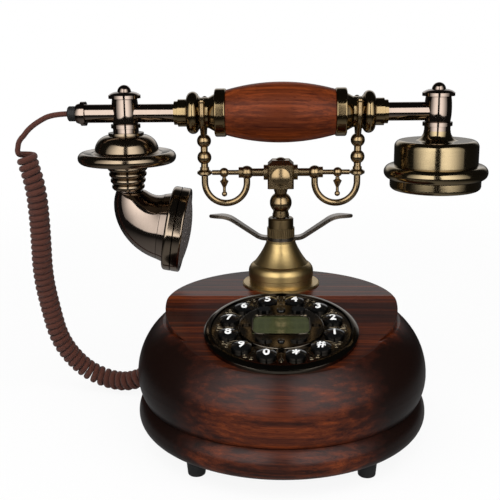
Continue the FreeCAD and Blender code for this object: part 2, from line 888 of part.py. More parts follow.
cone_height = cone_top - washer_top
cone_neck = cone_height - size("cone_lip_thickness")
cone = turned("pedestal_cone", [
    (size("skirt_radius") - size("cone_wall"), 0),
    (size("skirt_radius"), 0),
    (size("skirt_radius"), size("skirt_height")),
    (size("bell_radius"), size("skirt_height") + size("bell_radius") - size("skirt_radius")),
    (size("bell_radius"), size("bell_side_height"),
     crown(size("bell_shoulder_height") - size("bell_side_height"),
           size("bell_radius") - size("bell_shoulder_radius"))),
    (size("bell_shoulder_radius"), size("bell_shoulder_height"), -size("cone_sweep_radius")),
    (size("cone_neck_radius"), cone_neck),
    (size("cone_lip_radius"), cone_neck),
    (size("cone_lip_radius"), cone_height),
    (size("guide_radius") + run, cone_height),
    (size("guide_radius") + run, cone_neck - size("cone_lip_thickness")),
    (size("cone_neck_radius") - size("cone_wall"), cone_neck - size("cone_lip_thickness")),
    (size("skirt_radius") - size("cone_wall"), size("bell_side_height")),
])
place(cone, y=back, z=washer_top)

arms = new_body("leaf_arms")
half = size("arm_thickness") / 2
rise = size("arm_rise")
lean = size("arm_slope")
root_bend, tip_bend = size("arm_root_bend"), size("arm_tip_bend")
bend_out = size("arm_bend_start")
ramp_low_x, ramp_low_z = bend_out + root_bend * sine(lean), root_bend * (1 - cosine(lean))
ramp_top_z = rise - tip_bend * (1 - cosine(lean))
ramp_top_x = ramp_low_x + (ramp_top_z - ramp_low_z) * cosine(lean) / sine(lean)
level_out = ramp_top_x + tip_bend * sine(lean)
low_dx, low_dz = half * sine(lean), half * cosine(lean)
root_x = size("guide_radius") + slip
outline = [
    (root_x, -half),
    (bend_out, -half, root_bend + half),
    (ramp_low_x + low_dx, ramp_low_z - low_dz),
    (ramp_top_x + low_dx, ramp_top_z - low_dz, half - tip_bend),
    (level_out, rise - half),
    (size("arm_reach") - half, rise - half, half),
    (size("arm_reach"), rise, half),
    (size("arm_reach") - half, rise + half),
    (level_out, rise + half, tip_bend + half),
    (ramp_top_x - low_dx, ramp_top_z + low_dz),
    (ramp_low_x - low_dx, ramp_low_z + low_dz, half - root_bend),
    (bend_out, half),
    (root_x, half),
]
strip = pad(arms, draw_chain(new_sketch(arms, "XZ_Plane"), outline), size("arm_leaf_width") * 2, True)
leaf_half, stem_half = size("arm_leaf_width") / 2, size("arm_root_width") / 2
plan = draw_chain(new_sketch(arms, "XY_Plane"), [
    (root_x, -stem_half),
    (size("arm_leaf_out"), -leaf_half, size("arm_point_radius")),
    (size("arm_reach"), 0, size("arm_point_radius")),
    (size("arm_leaf_out"), leaf_half),
    (root_x, stem_half),
])
room = size("arm_leaf_width") * 2
draw_chain(plan, [(root_x - half, -room), (size("arm_reach") + half, -room),
                  (size("arm_reach") + half, room), (root_x - half, room)])
leaf = pocket(arms, plan)
mirrored(arms, [strip, leaf], "YZ_Plane")
pad(arms, draw_circles(new_sketch(arms, "XY_Plane"), [
    (0, 0, size("arm_ring_radius")), (0, 0, size("guide_radius") + run)]), size("arm_thickness"), True)
place(arms, y=back, z=cone_top + half)

nut = turned("knurled_nut", [
    (size("guide_radius") + run, arm_top),
    (size("nut_radius"), arm_top),
    (size("nut_radius"), nut_top),
    (size("guide_collar_radius"), nut_top),
    (size("guide_collar_radius"), collar_top - size("collar_bevel")),
    (size("guide_collar_radius") - size("collar_bevel"), collar_top),
    (size("guide_radius") + run, collar_top),
])
groove = pocket(nut, draw_circles(new_sketch(nut, "XY_Plane", lift=nut_top), [
    (size("nut_radius") + size("knurl_depth"), 0, size("knurl_depth") * 2)]), size("nut_height"))
ring_of(nut, groove, int(SIZES["knurl_count"]))
place(nut, y=back)

guide_top = collar_top - size("collar_bevel")
flange_top = cavity_z
guide = turned("guide_tube", [
    (size("plunger_radius") + run, guide_bottom),
    (size("guide_flange_radius"), guide_bottom),
    (size("guide_flange_radius"), flange_top),
    (size("guide_radius"), flange_top),
    (size("guide_radius"), guide_top),
    (size("plunger_radius") + run, guide_top),
])
place(guide, y=back)

# Dial on the sloping facet. Its pieces are drawn flat, with height square to the facet.
plate_bottom = size("bezel_ledge_height")
plate_top = plate_bottom + size("plate_thickness")
flange_top = plate_bottom - slip
flange_bottom = flange_top - size("key_flange_thickness")
mat_top = flange_bottom - size("key_travel") - slip
mat_bottom = mat_top - size("mat_thickness")
frame_top = plate_top + size("frame_height")


def on_dial(body, across=0, up=0):
    """Lay a piece on the facet, so far across and up the slope from the dial's centre."""
    place(body, x=across, y=dial_y + up * cosine(slope), z=dial_z + up * sine(slope), turn=slope)


bezel_round = size("bezel_height") - size("bezel_rim_height")
bezel_width = size("bezel_radius") - size("bezel_inner_radius")
bezel_bow = (bezel_width * bezel_width + bezel_round * bezel_round) / (bezel_round * 2)
bezel = turned("dial_bezel", [
    (size("bezel_ledge_radius"), 0),
    (size("bezel_radius"), 0),
    (size("bezel_radius"), size("bezel_rim_height"), bezel_bow),
    (size("bezel_inner_radius"), size("bezel_height")),
    (size("bezel_inner_radius"), plate_bottom),
    (size("bezel_ledge_radius"), plate_bottom),
])
on_dial(bezel)

plate_radius = size("bezel_inner_radius") - slip
skirt_inside = size("plate_skirt_radius") - size("plate_skirt_wall")
plate = turned("dial_plate", [
    (0, plate_bottom),
    (skirt_inside, plate_bottom),
    (skirt_inside, mat_top),
    (size("plate_skirt_radius"), mat_top),
    (size("plate_skirt_radius"), plate_bottom),
    (plate_radius, plate_bottom),
    (plate_radius, plate_top - slip),
    (plate_radius - slip, plate_top),
    (0, plate_top),
])
on_dial(plate)

# Twelve dialling keys ring the display, thirty degrees apart, and six smaller keys lie inside.
DIAL_KEYS = ("1", "2", "3", "4", "5", "6", "7", "8", "9", "0", "star", "hash")
key_step = 360 / len(DIAL_KEYS)
first_angle = -key_step / 2


def oval(across, up, length, width, grow=0):
    """A lying oval with round ends about a centre, all round larger by an allowance."""
    round_end = sized(width) / 2 + grow
    straight = sized(length) / 2 - sized(width) / 2
    return [
        (across - straight, up - round_end),
        (across + straight, up - round_end, round_end),
        (across + straight + round_end, up, round_end),
        (across + straight, up + round_end),
        (across - straight, up + round_end, round_end),
        (across - straight - round_end, up, round_end),
    ]


def lens(side, grow=0):
    """A lens key's outline between two arcs, its outer end tilted up, on the right or left side."""
    tilt = size("lens_key_tilt")
    half = size("lens_key_length") / 2 + grow
    dx, dy = half * cosine(tilt), half * sine(tilt)
    out, down = size("lens_key_out"), -size("lens_key_down")
    inner = (out - dx, down - dy)
    outer = (out + dx, down + dy)
    low, high = size("lens_lower_radius") + grow, size("lens_upper_radius") + grow
    if side > 0:
        return [(inner[0], inner[1], low), (outer[0], outer[1], high)]
    return [(-outer[0], outer[1], low), (-inner[0], inner[1], high)]


clear = size("key_clearance")
window_corners = box_outline(size("window_width"), size("window_depth"), size("window_up"))


def cut_function_keys(body, grow):
    """Holes for the six inner keys and the display window, wider than the keys all round."""
    up, out = size("oval_key_up"), size("oval_key_out")
    width, length = size("oval_key_width"), size("oval_key_length")
    pocket(body, draw_chain(new_sketch(body, "XY_Plane"), oval(out, up, length, width, grow)))
    pocket(body, draw_chain(new_sketch(body, "XY_Plane"), oval(-out, up, length, width, grow)))
    pocket(body, draw_chain(new_sketch(body, "XY_Plane"), lens(1, grow)))
    pocket(body, draw_chain(new_sketch(body, "XY_Plane"), lens(-1, grow)))
    pocket(body, draw_circles(new_sketch(body, "XY_Plane"), [
        (0, up, size("round_key_radius") + grow),
        (0, -size("small_key_down"), size("small_key_radius") + grow)]))
    pocket(body, draw_chain(new_sketch(body, "XY_Plane"), window_corners))


first = sized(first_angle)
key_hole = pocket(plate, draw_circles(new_sketch(plate, "XY_Plane"), [
    (size("key_ring_radius") * cosine(first), size("key_ring_radius") * sine(first),
     size("key_radius") + clear)]))
ring_of(plate, key_hole, len(DIAL_KEYS))
cut_function_keys(plate, clear)

frame = turned("display_frame", [
    (0, plate_top),
    (size("frame_radius"), plate_top),
    (size("frame_radius"), frame_top - size("frame_edge"), size("frame_edge")),
    (size("frame_radius") - size("frame_edge"), frame_top),
    (0, frame_top),
])
cut_function_keys(frame, clear)
pocket(frame, draw_circles(new_sketch(frame, "XY_Plane", lift=frame_top), [
    (size("well_out"), 0, size("well_radius")), (-size("well_out"), 0, size("well_radius"))]),
    size("well_depth"))
on_dial(frame)

glass = new_body("display_glass")
pad(glass, draw_chain(new_sketch(glass, "XY_Plane", lift=mat_top), box_outline(
    size("window_width") - slip * 2, size("window_depth") - slip * 2, size("window_up"))),
    frame_top - size("glass_recess") - mat_top)
on_dial(glass)

mat = turned("keypad_mat", [
    (0, mat_bottom), (size("plate_skirt_radius"), mat_bottom), (size("plate_skirt_radius"), mat_top),
    (0, mat_top)])
on_dial(mat)

key_board = turned("key_board", [
    (0, mat_bottom - size("board_thickness")),
    (size("plate_skirt_radius"), mat_bottom - size("board_thickness")),
    (size("plate_skirt_radius"), mat_bottom),
    (0, mat_bottom)])
on_dial(key_board)
main_board = new_body("main_board")
pad(main_board, draw_chain(new_sketch(main_board, "XY_Plane", lift=board_bottom), [
    (-size("main_board_length") / 2, -size("main_board_width") / 2),
    (size("main_board_length") / 2, -size("main_board_width") / 2),
    (size("main_board_length") / 2, size("main_board_width") / 2),
    (-size("main_board_length") / 2, size("main_board_width") / 2)]), size("board_thickness"))
place(main_board, y=board_back)
group_of("circuit_boards", [key_board, main_board])

key_edge = plate_top + size("key_edge_height")
key_top = plate_top + size("key_height")
key_crown = crown(size("key_radius"), key_top - key_edge)
for i, name in enumerate(DIAL_KEYS):
    key = turned(f"key_{name}", [
        (0, flange_bottom),
        (size("key_flange_radius"), flange_bottom),
        (size("key_flange_radius"), flange_top),
        (size("key_radius"), flange_top),
        (size("key_radius"), key_edge, key_crown),
        (0, key_top),
    ])
    angle = sized(first_angle + key_step * i)
    on_dial(key, size("key_ring_radius") * cosine(angle), size("key_ring_radius") * sine(angle))


def inner_key(label, outline):
    """A flanged key of any outline: outline(grow) gives it larger all round by grow."""
    key = new_body(label)
    pad(key, draw_chain(new_sketch(key, "XY_Plane", lift=flange_bottom),
                        outline(size("function_flange_lip"))), size("key_flange_thickness"))
    pad(key, draw_chain(new_sketch(key, "XY_Plane", lift=flange_top), outline(sized(0))),
        plate_top + size("function_key_height") - flange_top)
    on_dial(key)
    return key


oval_size = (size("oval_key_length"), size("oval_key_width"))
inner_key("oval_key_left", lambda grow: oval(-size("oval_key_out"), size("oval_key_up"), *oval_size, grow))
inner_key("oval_key_right", lambda grow: oval(size("oval_key_out"), size("oval_key_up"), *oval_size, grow))
inner_key("lens_key_left", lambda grow: lens(-1, grow))
inner_key("lens_key_right", lambda grow: lens(1, grow))
for label, up, radius in (("round_key", size("oval_key_up"), size("round_key_radius")),
                          ("small_round_key", -size("small_key_down"), size("small_key_radius"))):
    lip = size("function_flange_lip")
    rim = plate_top + size("function_key_height")
    key = turned(label, [(0, flange_bottom), (radius + lip, flange_bottom), (radius + lip, flange_top),
                         (radius, flange_top), (radius, rim - size("frame_edge"), size("frame_edge")),
                         (radius - size("frame_edge"), rim), (0, rim)])
    on_dial(key, 0, up)

# Cradle: plunger and stem, hub, cross rods, scroll hooks, drops, posts and forks. It rises as one.
stem = turned("plunger_post", [
    (0, plunger_bottom),
    (size("plunger_foot_radius"), plunger_bottom),
    (size("plunger_foot_radius"), plunger_bottom + size("plunger_foot_height")),
    (size("plunger_radius"), plunger_bottom + size("plunger_foot_height")),
    (size("plunger_radius"), stem_ring),
    (size("stem_ring_radius"), stem_ring),
    (size("stem_ring_radius"), stem_ring + size("stem_ring_height")),
    (size("stem_neck_low_radius"), stem_ring + size("stem_ring_height")),
    *sphere_on(size("stem_ball_radius"), stem_ball_z,
               size("stem_neck_low_radius"), size("stem_neck_top_radius")),
    (size("stem_neck_low_radius"), hub_bottom),
    (0, hub_bottom),
])
place(stem, y=back)

hub_top = hub_bottom + size("hub_height")
hub_half, bevel = size("hub_width") / 2, size("hub_edge")
hub_square = [(-hub_half + bevel, -hub_half), (hub_half - bevel, -hub_half), (hub_half, -hub_half + bevel),
              (hub_half, hub_half - bevel), (hub_half - bevel, hub_half), (-hub_half + bevel, hub_half),
              (-hub_half, hub_half - bevel), (-hub_half, -hub_half + bevel)]
hub = new_body("hub_cube")
pad(hub, draw_chain(new_sketch(hub, "XY_Plane", lift=hub_bottom), hub_square), size("hub_height"))
crest = pad(hub, draw_chain(new_sketch(hub, "XY_Plane", lift=hub_top), hub_square), size("hub_chamfer"))
crest.TaperAngle = -45
hub_middle = hub_bottom + size("hub_height") / 2
panel = new_sketch(hub, "XZ_Plane", lift=hub_half)
draw_chain(panel, box_outline(size("hub_panel_width"), size("hub_panel_width"), hub_middle))
draw_circles(panel, [(0, hub_middle, size("hub_boss_radius"))])
panel_cut = pocket(hub, panel, size("hub_panel_depth"))
boss = revolve(hub, draw_chain(new_sketch(hub, "YZ_Plane", shift_y=hub_middle), [
    (-hub_half, 0),
    (-hub_half, size("hub_boss_radius"), crown(size("hub_boss_radius"), size("hub_boss_rise"))),
    (-hub_half - size("hub_boss_rise"), 0)]), "H_Axis")
mirrored(hub, [panel_cut, boss], "XZ_Plane")
crest_top = hub_top + size("hub_chamfer")
revolve(hub, draw_chain(new_sketch(hub, "XZ_Plane"), [
    (0, crest_top - bevel),
    (size("hub_cap_radius"), crest_top - bevel),
    (size("hub_cap_radius"), crest_top,
     crown(size("hub_cap_radius"), size("hub_cap_height"))),
    (0, crest_top + size("hub_cap_height"))]))
place(hub, y=back)

rod_ball_out, rod_ball = size("rod_ball_out"), size("rod_ball_radius")
outer_collar = rod_ball_out + rod_ball
bead_out, bead = size("rod_bead_out"), size("rod_bead_radius")
thin = size("rod_thin_radius")
rod_inner = size("rod_inner_radius")


def level_ball(middle, radius, low, high):
    """Outline points of a ball on a level rod, from the rod's radius before it to the one after."""
    return [(middle - root(radius * radius - low * low), low, -radius), (middle, radius, -radius),
            (middle + root(radius * radius - high * high), high)]


def level_turned(label, height, points):
    """A body turned about a level axis along X at a height, from (along, radius) points."""
    body = new_body(label)
    revolve(body, draw_chain(new_sketch(body, "XZ_Plane", shift_y=height), points), "H_Axis")
    place(body, y=back)
    return body


rod_end = size("post_out") - size("post_bead_radius") - run
rods = level_turned("cross_rods", rod_z, [
    (hub_half, 0),
    (hub_half, size("rod_collar_radius")),
    (hub_half + size("rod_collar_width"), size("rod_collar_radius")),
    (hub_half + size("rod_collar_width"), rod_inner),
    *level_ball(rod_ball_out, rod_ball, rod_inner, size("rod_outer_collar_radius")),
    (outer_collar + size("rod_outer_collar_width") / 2, size("rod_outer_collar_radius")),
    (outer_collar + size("rod_outer_collar_width") / 2, thin),
    *level_ball(bead_out, bead, thin, thin),
    (rod_end, thin),
    (rod_end, 0),
])


def bent_rod(body, start, points, radius):
    """A round rod that follows a drawn line of runs and bends, from an upright start."""
    path = draw_chain(start, points, closed=False)
    section = draw_circles(new_sketch(body, "XY_Plane", lift=points[0][1]), [(points[0][0], 0, radius)])
    rod = body.newObject("PartDesign::AdditivePipe", f"{body.Label}_rod")
    rod.Profile = section
    rod.Spine = (path, [f"Edge{i + 1}" for i in range(len(points) - 1)])
    return rod


post_out, post_foot = size("post_out"), rod_z - size("post_bead_height") / 2
hook_bend = (post_out - rod_ball_out) / 2
hook_middle = rod_ball_out + hook_bend
hook_centre = post_foot - size("hook_straight")
hooks = new_body("scroll_hooks")
bent_rod(hooks, new_sketch(hooks, "XZ_Plane"), [
    (post_out, post_foot),
    (post_out, hook_centre, -hook_bend),
    (hook_middle, hook_centre - hook_bend, -hook_bend),
    (rod_ball_out, hook_centre),
    (rod_ball_out, rod_z)], size("hook_rod_radius"))
place(hooks, y=back)
PARTS.remove(hooks)
hooks.Label = "hook_bend"
fitted = doc.addObject("Part::Cut", "scroll_hook_fitted")
fitted.Base = hooks
fitted.Tool = rods
PARTS.append(fitted)
pair("scroll_hooks", fitted)
pair("cross_rods", rods)

finial_top = rod_z - bead - run
drop_ball, drop_waist = size("drop_ball_radius"), size("drop_waist_radius")
drop_ball_z, drop_flare_z = rod_z - size("drop_ball_drop"), rod_z - size("drop_flare_drop")
drops = turned("drop_finials", [
    (0, drop_ball_z - drop_ball, drop_ball),
    (drop_ball, drop_ball_z, drop_ball),
    (drop_waist, drop_ball_z + root(drop_ball * drop_ball - drop_waist * drop_waist)),
    (drop_waist, rod_z - size("drop_waist_drop")),
    (size("drop_flare_radius"), drop_flare_z),
    (size("drop_neck_radius"), drop_flare_z + size("drop_neck_radius")),
    (size("drop_neck_radius"), finial_top),
    (0, finial_top),
])
place(drops, x=bead_out, y=back)
pair("drop_finials", drops)

bead_height, neck = size("post_bead_height"), size("post_neck_radius")
collar_start = post_foot + bead_height
collar_end = collar_start + size("post_collar_height")
knuckle = size("knuckle_radius")
knuckle_foot = knuckle_z - root(knuckle * knuckle - neck * neck)
post = turned("cradle_posts", [
    (0, post_foot),
    (size("post_collar_radius"), post_foot),
    (size("post_bead_radius"), post_foot + bead_height / 2 - size("post_bead_flat") / 2),
    (size("post_bead_radius"), post_foot + bead_height / 2 + size("post_bead_flat") / 2),
    (size("post_collar_radius"), collar_start),
    (size("post_collar_radius"), collar_end),
    (neck, collar_end),
    *sphere_on(size("post_ball_radius"), handset_z - size("post_ball_drop"), neck, neck),
    (neck, knuckle_foot),
    (0, knuckle_foot),
])
place(post, x=post_out, y=back)
pair("cradle_posts", post)

fork_tip = handset_z + size("fork_tip_rise")
prong_out = size("waist_radius") + slip + size("fork_rod_radius")
touch = prong_out / size("knuckle_drop")
forks = new_body("handset_forks")
bent = new_sketch(forks, "YZ_Plane", lift=post_out)
path = draw_chain(bent, [
    (prong_out, fork_tip),
    (prong_out, handset_z, -prong_out),
    (prong_out * root(1 - touch * touch), handset_z - prong_out * touch),
    (0, knuckle_z)], closed=False)
section = draw_circles(new_sketch(forks, "XY_Plane", lift=fork_tip),
                       [(post_out, prong_out, size("fork_rod_radius"))])
prong = forks.newObject("PartDesign::AdditivePipe", "prong")
prong.Profile = section
prong.Spine = (path, ["Edge1", "Edge2", "Edge3"])
tip = size("fork_tip_radius")
tip_ball = revolve(forks, draw_chain(
    new_sketch(forks, "XZ_Plane", lift=-prong_out, shift_x=post_out, shift_y=fork_tip),
    [(0, -tip, tip), (tip, 0, tip), (0, tip)]))
mirrored(forks, [prong, tip_ball], "XZ_Plane")
knuckle_drop = root(knuckle * knuckle - neck * neck)
revolve(forks, draw_chain(
    new_sketch(forks, "XZ_Plane", shift_x=post_out, shift_y=knuckle_z),
    [(0, -knuckle_drop), (neck, -knuckle_drop, knuckle), (knuckle, 0, knuckle), (0, knuckle)]))
place(forks, y=back)
pair("handset_forks", forks)

# Handset: turned grip and necks on one long tube, with a tee at each end of it.
bore = size("tube_radius") + run
grip_end, grip_half = size("grip_end_radius"), size("grip_half_length")
level_turned("wood_grip", handset_z, [
    (-grip_half, bore),
    (-grip_half, grip_end, -crown(grip_half, size("grip_middle_radius") - grip_end)),
    (grip_half, grip_end),
    (grip_half, bore),
])

ferrule, ferrule_end = size("ferrule_radius"), grip_half + size("ferrule_width")
ferrule_round = size("ferrule_round")
flank, waist = size("ferrule_flank_radius"), size("waist_radius")
peak, bead_flank = size("bead_radius"), size("bead_flank_radius")
rise_run, fall_run = size("bead_peak") - size("bead_start"), size("bead_end") - size("bead_peak")
necks = level_turned("grip_necks", handset_z, [
    (grip_half, bore),
    (grip_half, ferrule - ferrule_round, -ferrule_round),
    (grip_half + ferrule_round, ferrule),
    (ferrule_end - ferrule_round, ferrule, -ferrule_round),
    (ferrule_end, ferrule - ferrule_round),
    (ferrule_end, flank),
    (size("waist_start"), waist),
    (size("waist_end"), waist),
    (size("bead_start"), bead_flank, -crown(rise_run, peak - bead_flank)),
    (size("bead_peak"), peak, -crown(fall_run, peak - size("bead_foot_radius"))),
    (size("bead_end"), size("bead_foot_radius")),
    (size("bead_end"), size("neck_step_radius")),
    (size("neck_step_end"), size("neck_step_radius")),
    (size("neck_step_end"), size("neck_ring_radius")),
    (size("neck_ring_end"), size("neck_ring_radius")),
    (size("neck_ring_end"), bore),
])
pair("grip_necks", necks)

level_turned("handset_tube", handset_z, [
    (-size("tube_left_end"), size("tube_bore_radius")),
    (-size("tube_left_end"), size("tube_radius")),
    (size("tube_right_end"), size("tube_radius")),
    (size("tube_right_end"), size("tube_bore_radius")),
])

ring_out = -size("tube_left_end") - size("end_ring_width")
bead_left = ring_out - size("end_bead_width")
level_turned("tube_end_cap", handset_z, [
    (-size("tube_left_end") + size("end_spigot_length"), 0),
    (-size("tube_left_end") + size("end_spigot_length"), size("tube_bore_radius") - run),
    (-size("tube_left_end"), size("tube_bore_radius") - run),
    (-size("tube_left_end"), size("end_ring_radius")),
    (ring_out, size("end_ring_radius")),
    (ring_out, size("end_bead_radius"), crown(size("end_bead_width"), size("end_bead_round"))),
    (bead_left, size("end_bead_radius") - size("end_bead_round")),
    (bead_left, 0),
])
boot_end = bead_left - size("boot_length")
level_turned("cord_boot", handset_z, [
    (bead_left, 0),
    (bead_left, size("boot_radius")),
    (boot_end + size("boot_edge"), size("boot_radius")),
    (boot_end, size("boot_radius") - size("boot_edge")),
    (boot_end, 0),
])

tee_out, tee_bottom = size("tee_out"), size("tee_bottom_drop")
barrel, barrel_end = size("tee_barrel_radius"), size("tee_barrel_end_radius")
ring_half = size("tee_ring_height") / 2
barrel_low = ring_half - size("tee_ring_drop")
barrel_high = size("tee_flange_height") - size("tee_flange_thickness") / 2
tees = []
for side, reach in ((-1, None), (1, size("tube_right_end") - tee_out)):
    tee = turned("handset_tee", [
        (0, -tee_bottom),
        (size("tee_foot_radius"), -tee_bottom),
        (size("tee_foot_radius"), -ring_half - size("tee_ring_drop")),
        (size("tee_ring_radius"), -ring_half - size("tee_ring_drop")),
        (size("tee_ring_radius"), barrel_low),
        (barrel_end, barrel_low, crown((barrel_high - barrel_low) / 2, barrel - barrel_end)),
        (barrel_end, barrel_high),
        (size("tee_flange_radius"), barrel_high),
        (size("tee_flange_radius"), barrel_high + size("tee_flange_thickness"), size("tee_hat_radius")),
        (size("tee_dome_radius"), size("tee_dome_base"), size("tee_dome_radius")),
        (0, size("tee_dome_base") + size("tee_dome_radius")),
    ])
    hole = [(0, 0, bore)]
    if reach is None:
        pocket(tee, draw_circles(new_sketch(tee, "YZ_Plane"), hole))
    else:
        pocket(tee, draw_circles(new_sketch(tee, "YZ_Plane", lift=reach), hole), barrel + reach)
    place(tee, x=tee_out * side, y=back, z=handset_z)
    tees.append(tee)
group_of("handset_tees", tees)

# Mouthpiece side: bell with its broad rim and threaded neck.
rim, rim_half = size("bell_rim_radius"), size("bell_rim_half_thickness")
rim_drop, collar_drop = size("bell_rim_drop"), tee_bottom + size("bell_collar_height")
dome, dome_drop = size("bell_dome_radius"), size("bell_dome_drop")
collar_foot = size("bell_collar_radius") - slip
neck_top, neck_low = size("bell_neck_radius"), size("bell_neck_low_radius")
thread_count = int(SIZES["bell_thread_rings"])
thread_start = rim_drop + rim_half + size("bell_neck_step")
thread_pitch = (size("bell_neck_bottom_drop") - thread_start) / thread_count
bell_points = [
    (0, -tee_bottom),
    (size("bell_collar_radius"), -tee_bottom),
    (size("bell_collar_radius"), -collar_drop),
    (collar_foot, -collar_drop, -crown(dome_drop - collar_drop, dome - collar_foot)),
    (dome, -dome_drop),
    (size("bell_step_radius"), -dome_drop - size("bell_step_depth")),
    (rim - rim_half, rim_half - rim_drop, -rim_half),
    (rim, -rim_drop, -rim_half),
    (rim - rim_half, -rim_half - rim_drop),
    (neck_top, -rim_half - rim_drop),
    (neck_top, -thread_start),
]
for i in range(thread_count):
    crest = neck_top - (neck_top - neck_low) * i / (thread_count - 1)
    root_radius = crest - size("bell_thread_depth")
    top, low = -thread_start - thread_pitch * i, -thread_start - thread_pitch * (i + 1)
    bell_points.append((root_radius, top))
    bell_points.append((crest, top - thread_pitch / 4, -crown(thread_pitch / 4, slip)))
    bell_points.append((crest, low + thread_pitch / 4))
    bell_points.append((root_radius, low))
bell_points.append((0, low))
bell = turned("mouthpiece_bell", bell_points)
place(bell, x=-tee_out, y=back, z=handset_z)

# Horn elbow: a swelling tube bent through a quarter turn, hollow from its throat to its mouth.
horn_turn, horn_bend = size("horn_turn"), size("horn_bend_radius")
throat, flare_length = size("horn_throat"), size("horn_flare_length")
HORN_SECTIONS = 6
mouth_x = horn_bend * (1 - cosine(horn_turn)) + flare_length * sine(horn_turn)
mouth_z = -throat - horn_bend * sine(horn_turn) - flare_length * cosine(horn_turn)


def horn_section(body, across, height, tilt, radius):
    """A circle with its middle and its tilt set in the plane of the bend."""
    sketch = new_sketch(body, "XY_Plane", axis=V(0, 1, 0), turn=-tilt, shift_x=across, lift=height)
    return draw_circles(sketch, [(0, 0, radius)])


def horn_sections(body, inset):
    """The throat's edge, even steps along the bend that swell and tilt ahead of it, and the mouth."""
    start = size("horn_start_radius")
    swell = size("horn_bend_end_radius") - start
    sections = [horn_section(body, sized(0), sized(0), sized(0), start - inset)]
    for i in range(HORN_SECTIONS + 1):
        along = horn_turn * i / HORN_SECTIONS
        share = (i / HORN_SECTIONS) ** (1 / SIZES["horn_lead"])
        sections.append(horn_section(
            body, horn_bend * (1 - cosine(along)), -throat - horn_bend * sine(along), horn_turn * share,
            start + swell * share ** SIZES["horn_swell"] - inset))
    sections.append(horn_section(body, mouth_x, mouth_z, horn_turn, size("horn_end_radius") - inset))
    return sections


elbow = new_body("mouthpiece_elbow")
for kind, inset in (("PartDesign::AdditiveLoft", sized(0)),
                    ("PartDesign::SubtractiveLoft", size("horn_wall"))):
    sections = horn_sections(elbow, inset)
    for first, last in ((0, 2), (1, -1), (-2, None)):
        loft = elbow.newObject(kind, "horn")
        loft.Profile = sections[first:last][0]
        loft.Sections = sections[first:last][1:]
horn_z = handset_z - size("bell_neck_bottom_drop")
place(elbow, x=-tee_out, y=back, z=horn_z)


def horn_mouthed(label, points):
    """A body turned about the axis of the horn's mouth, with heights outwards from it."""
    body = new_body(label)
    sketch = new_sketch(body, "XZ_Plane", shift_x=mouth_x, shift_y=mouth_z,
                        axis=V(0, 0, 1), turn=horn_turn - 180)
    revolve(body, draw_chain(sketch, points))
    place(body, x=-tee_out, y=back, z=horn_z)
    return body


# Transmitter cap on the mouth: grooved ring, rounded rim and a domed, pierced grille.
cap, cap_wall, cap_width = size("cap_radius"), size("cap_wall"), size("cap_width")
groove = size("cap_groove_depth")
mouth_bore = size("horn_end_radius") - size("horn_wall")
rim_round = cap - size("cap_rim_radius")
grille_edge = size("cap_rim_radius") - cap_wall - rim_round
dome_bow = crown(grille_edge, size("cap_dome_height"))
inner_edge = grille_edge - slip
mouth_cap = horn_mouthed("mouthpiece_cap", [
    (mouth_bore, run),
    (size("cap_rear_radius"), run, crown(cap_wall - run, cap - size("cap_rear_radius"))),
    (cap, cap_wall),
    (cap, size("cap_ring_width")),
    (cap - groove, size("cap_ring_width") + groove / 2),
    (cap, size("cap_ring_width") + groove),
    (cap, cap_width - rim_round, rim_round),
    (size("cap_rim_radius"), cap_width),
    (grille_edge, cap_width - slip, dome_bow),
    (0, cap_width - slip + size("cap_dome_height")),
    (0, cap_width - slip + size("cap_dome_height") - cap_wall, -crown(inner_edge, size("cap_dome_height"))),
    (inner_edge, cap_width - slip - cap_wall),
    (cap - cap_wall, cap_width - slip - cap_wall),
    (cap - cap_wall, cap_wall + slip),
    (mouth_bore, cap_wall),
])
across_mouth = new_sketch(mouth_cap, "XY_Plane", axis=V(0, 1, 0), turn=180 - horn_turn,
                          shift_x=mouth_x, lift=mouth_z)
holes = [(0, 0, size("grille_hole_radius"))]
for ring in range(1, int(SIZES["grille_rings"]) + 1):
    for i in range(ring * 6):
        turn = sized(360 / (ring * 6) * i)
        reach = size("grille_pitch") * ring
        holes.append((reach * cosine(turn), reach * sine(turn), size("grille_hole_radius")))
draw_circles(across_mouth, holes)
pocket(mouth_cap, across_mouth, cap_width * 2).Reversed = True

# Earpiece side: flared neck, drum and round ring over a dished cap.
ear_top, drum, ear_wall = -size("drum_top_drop"), size("drum_radius"), size("ear_wall")
ear_ring, ring_half = size("drum_ring_radius"), size("drum_ring_half_height")
drum_bottom = -size("drum_bottom_drop")
ring_middle = drum_bottom - ring_half - slip
ring_bottom = ring_middle - ring_half
flare_fall = size("drum_top_drop") - tee_bottom
ear_bore = drum - ear_wall
cap_fit = ear_bore + ear_wall
shell = turned("earpiece_shell", [
    (0, -tee_bottom),
    (size("flare_top_radius"), -tee_bottom,
     crown(flare_fall, size("flare_foot_radius") - size("flare_top_radius"))),
    (size("flare_foot_radius"), ear_top),
    (drum - size("drum_round"), ear_top, -size("drum_round")),
    (drum, ear_top - size("drum_round")),
    (drum, drum_bottom),
    (ear_ring - ring_half, drum_bottom - slip, -ring_half),
    (ear_ring, ring_middle, -ring_half),
    (ear_ring - ring_half, ring_bottom),
    (cap_fit, ring_bottom),
    (cap_fit, drum_bottom - ear_wall),
    (ear_bore, drum_bottom),
    (ear_bore, ear_top - size("drum_round")),
    (ear_bore - size("drum_round") + ear_wall, ear_top - ear_wall),
    (0, ear_top - ear_wall),
])
place(shell, x=tee_out, y=back, z=handset_z)

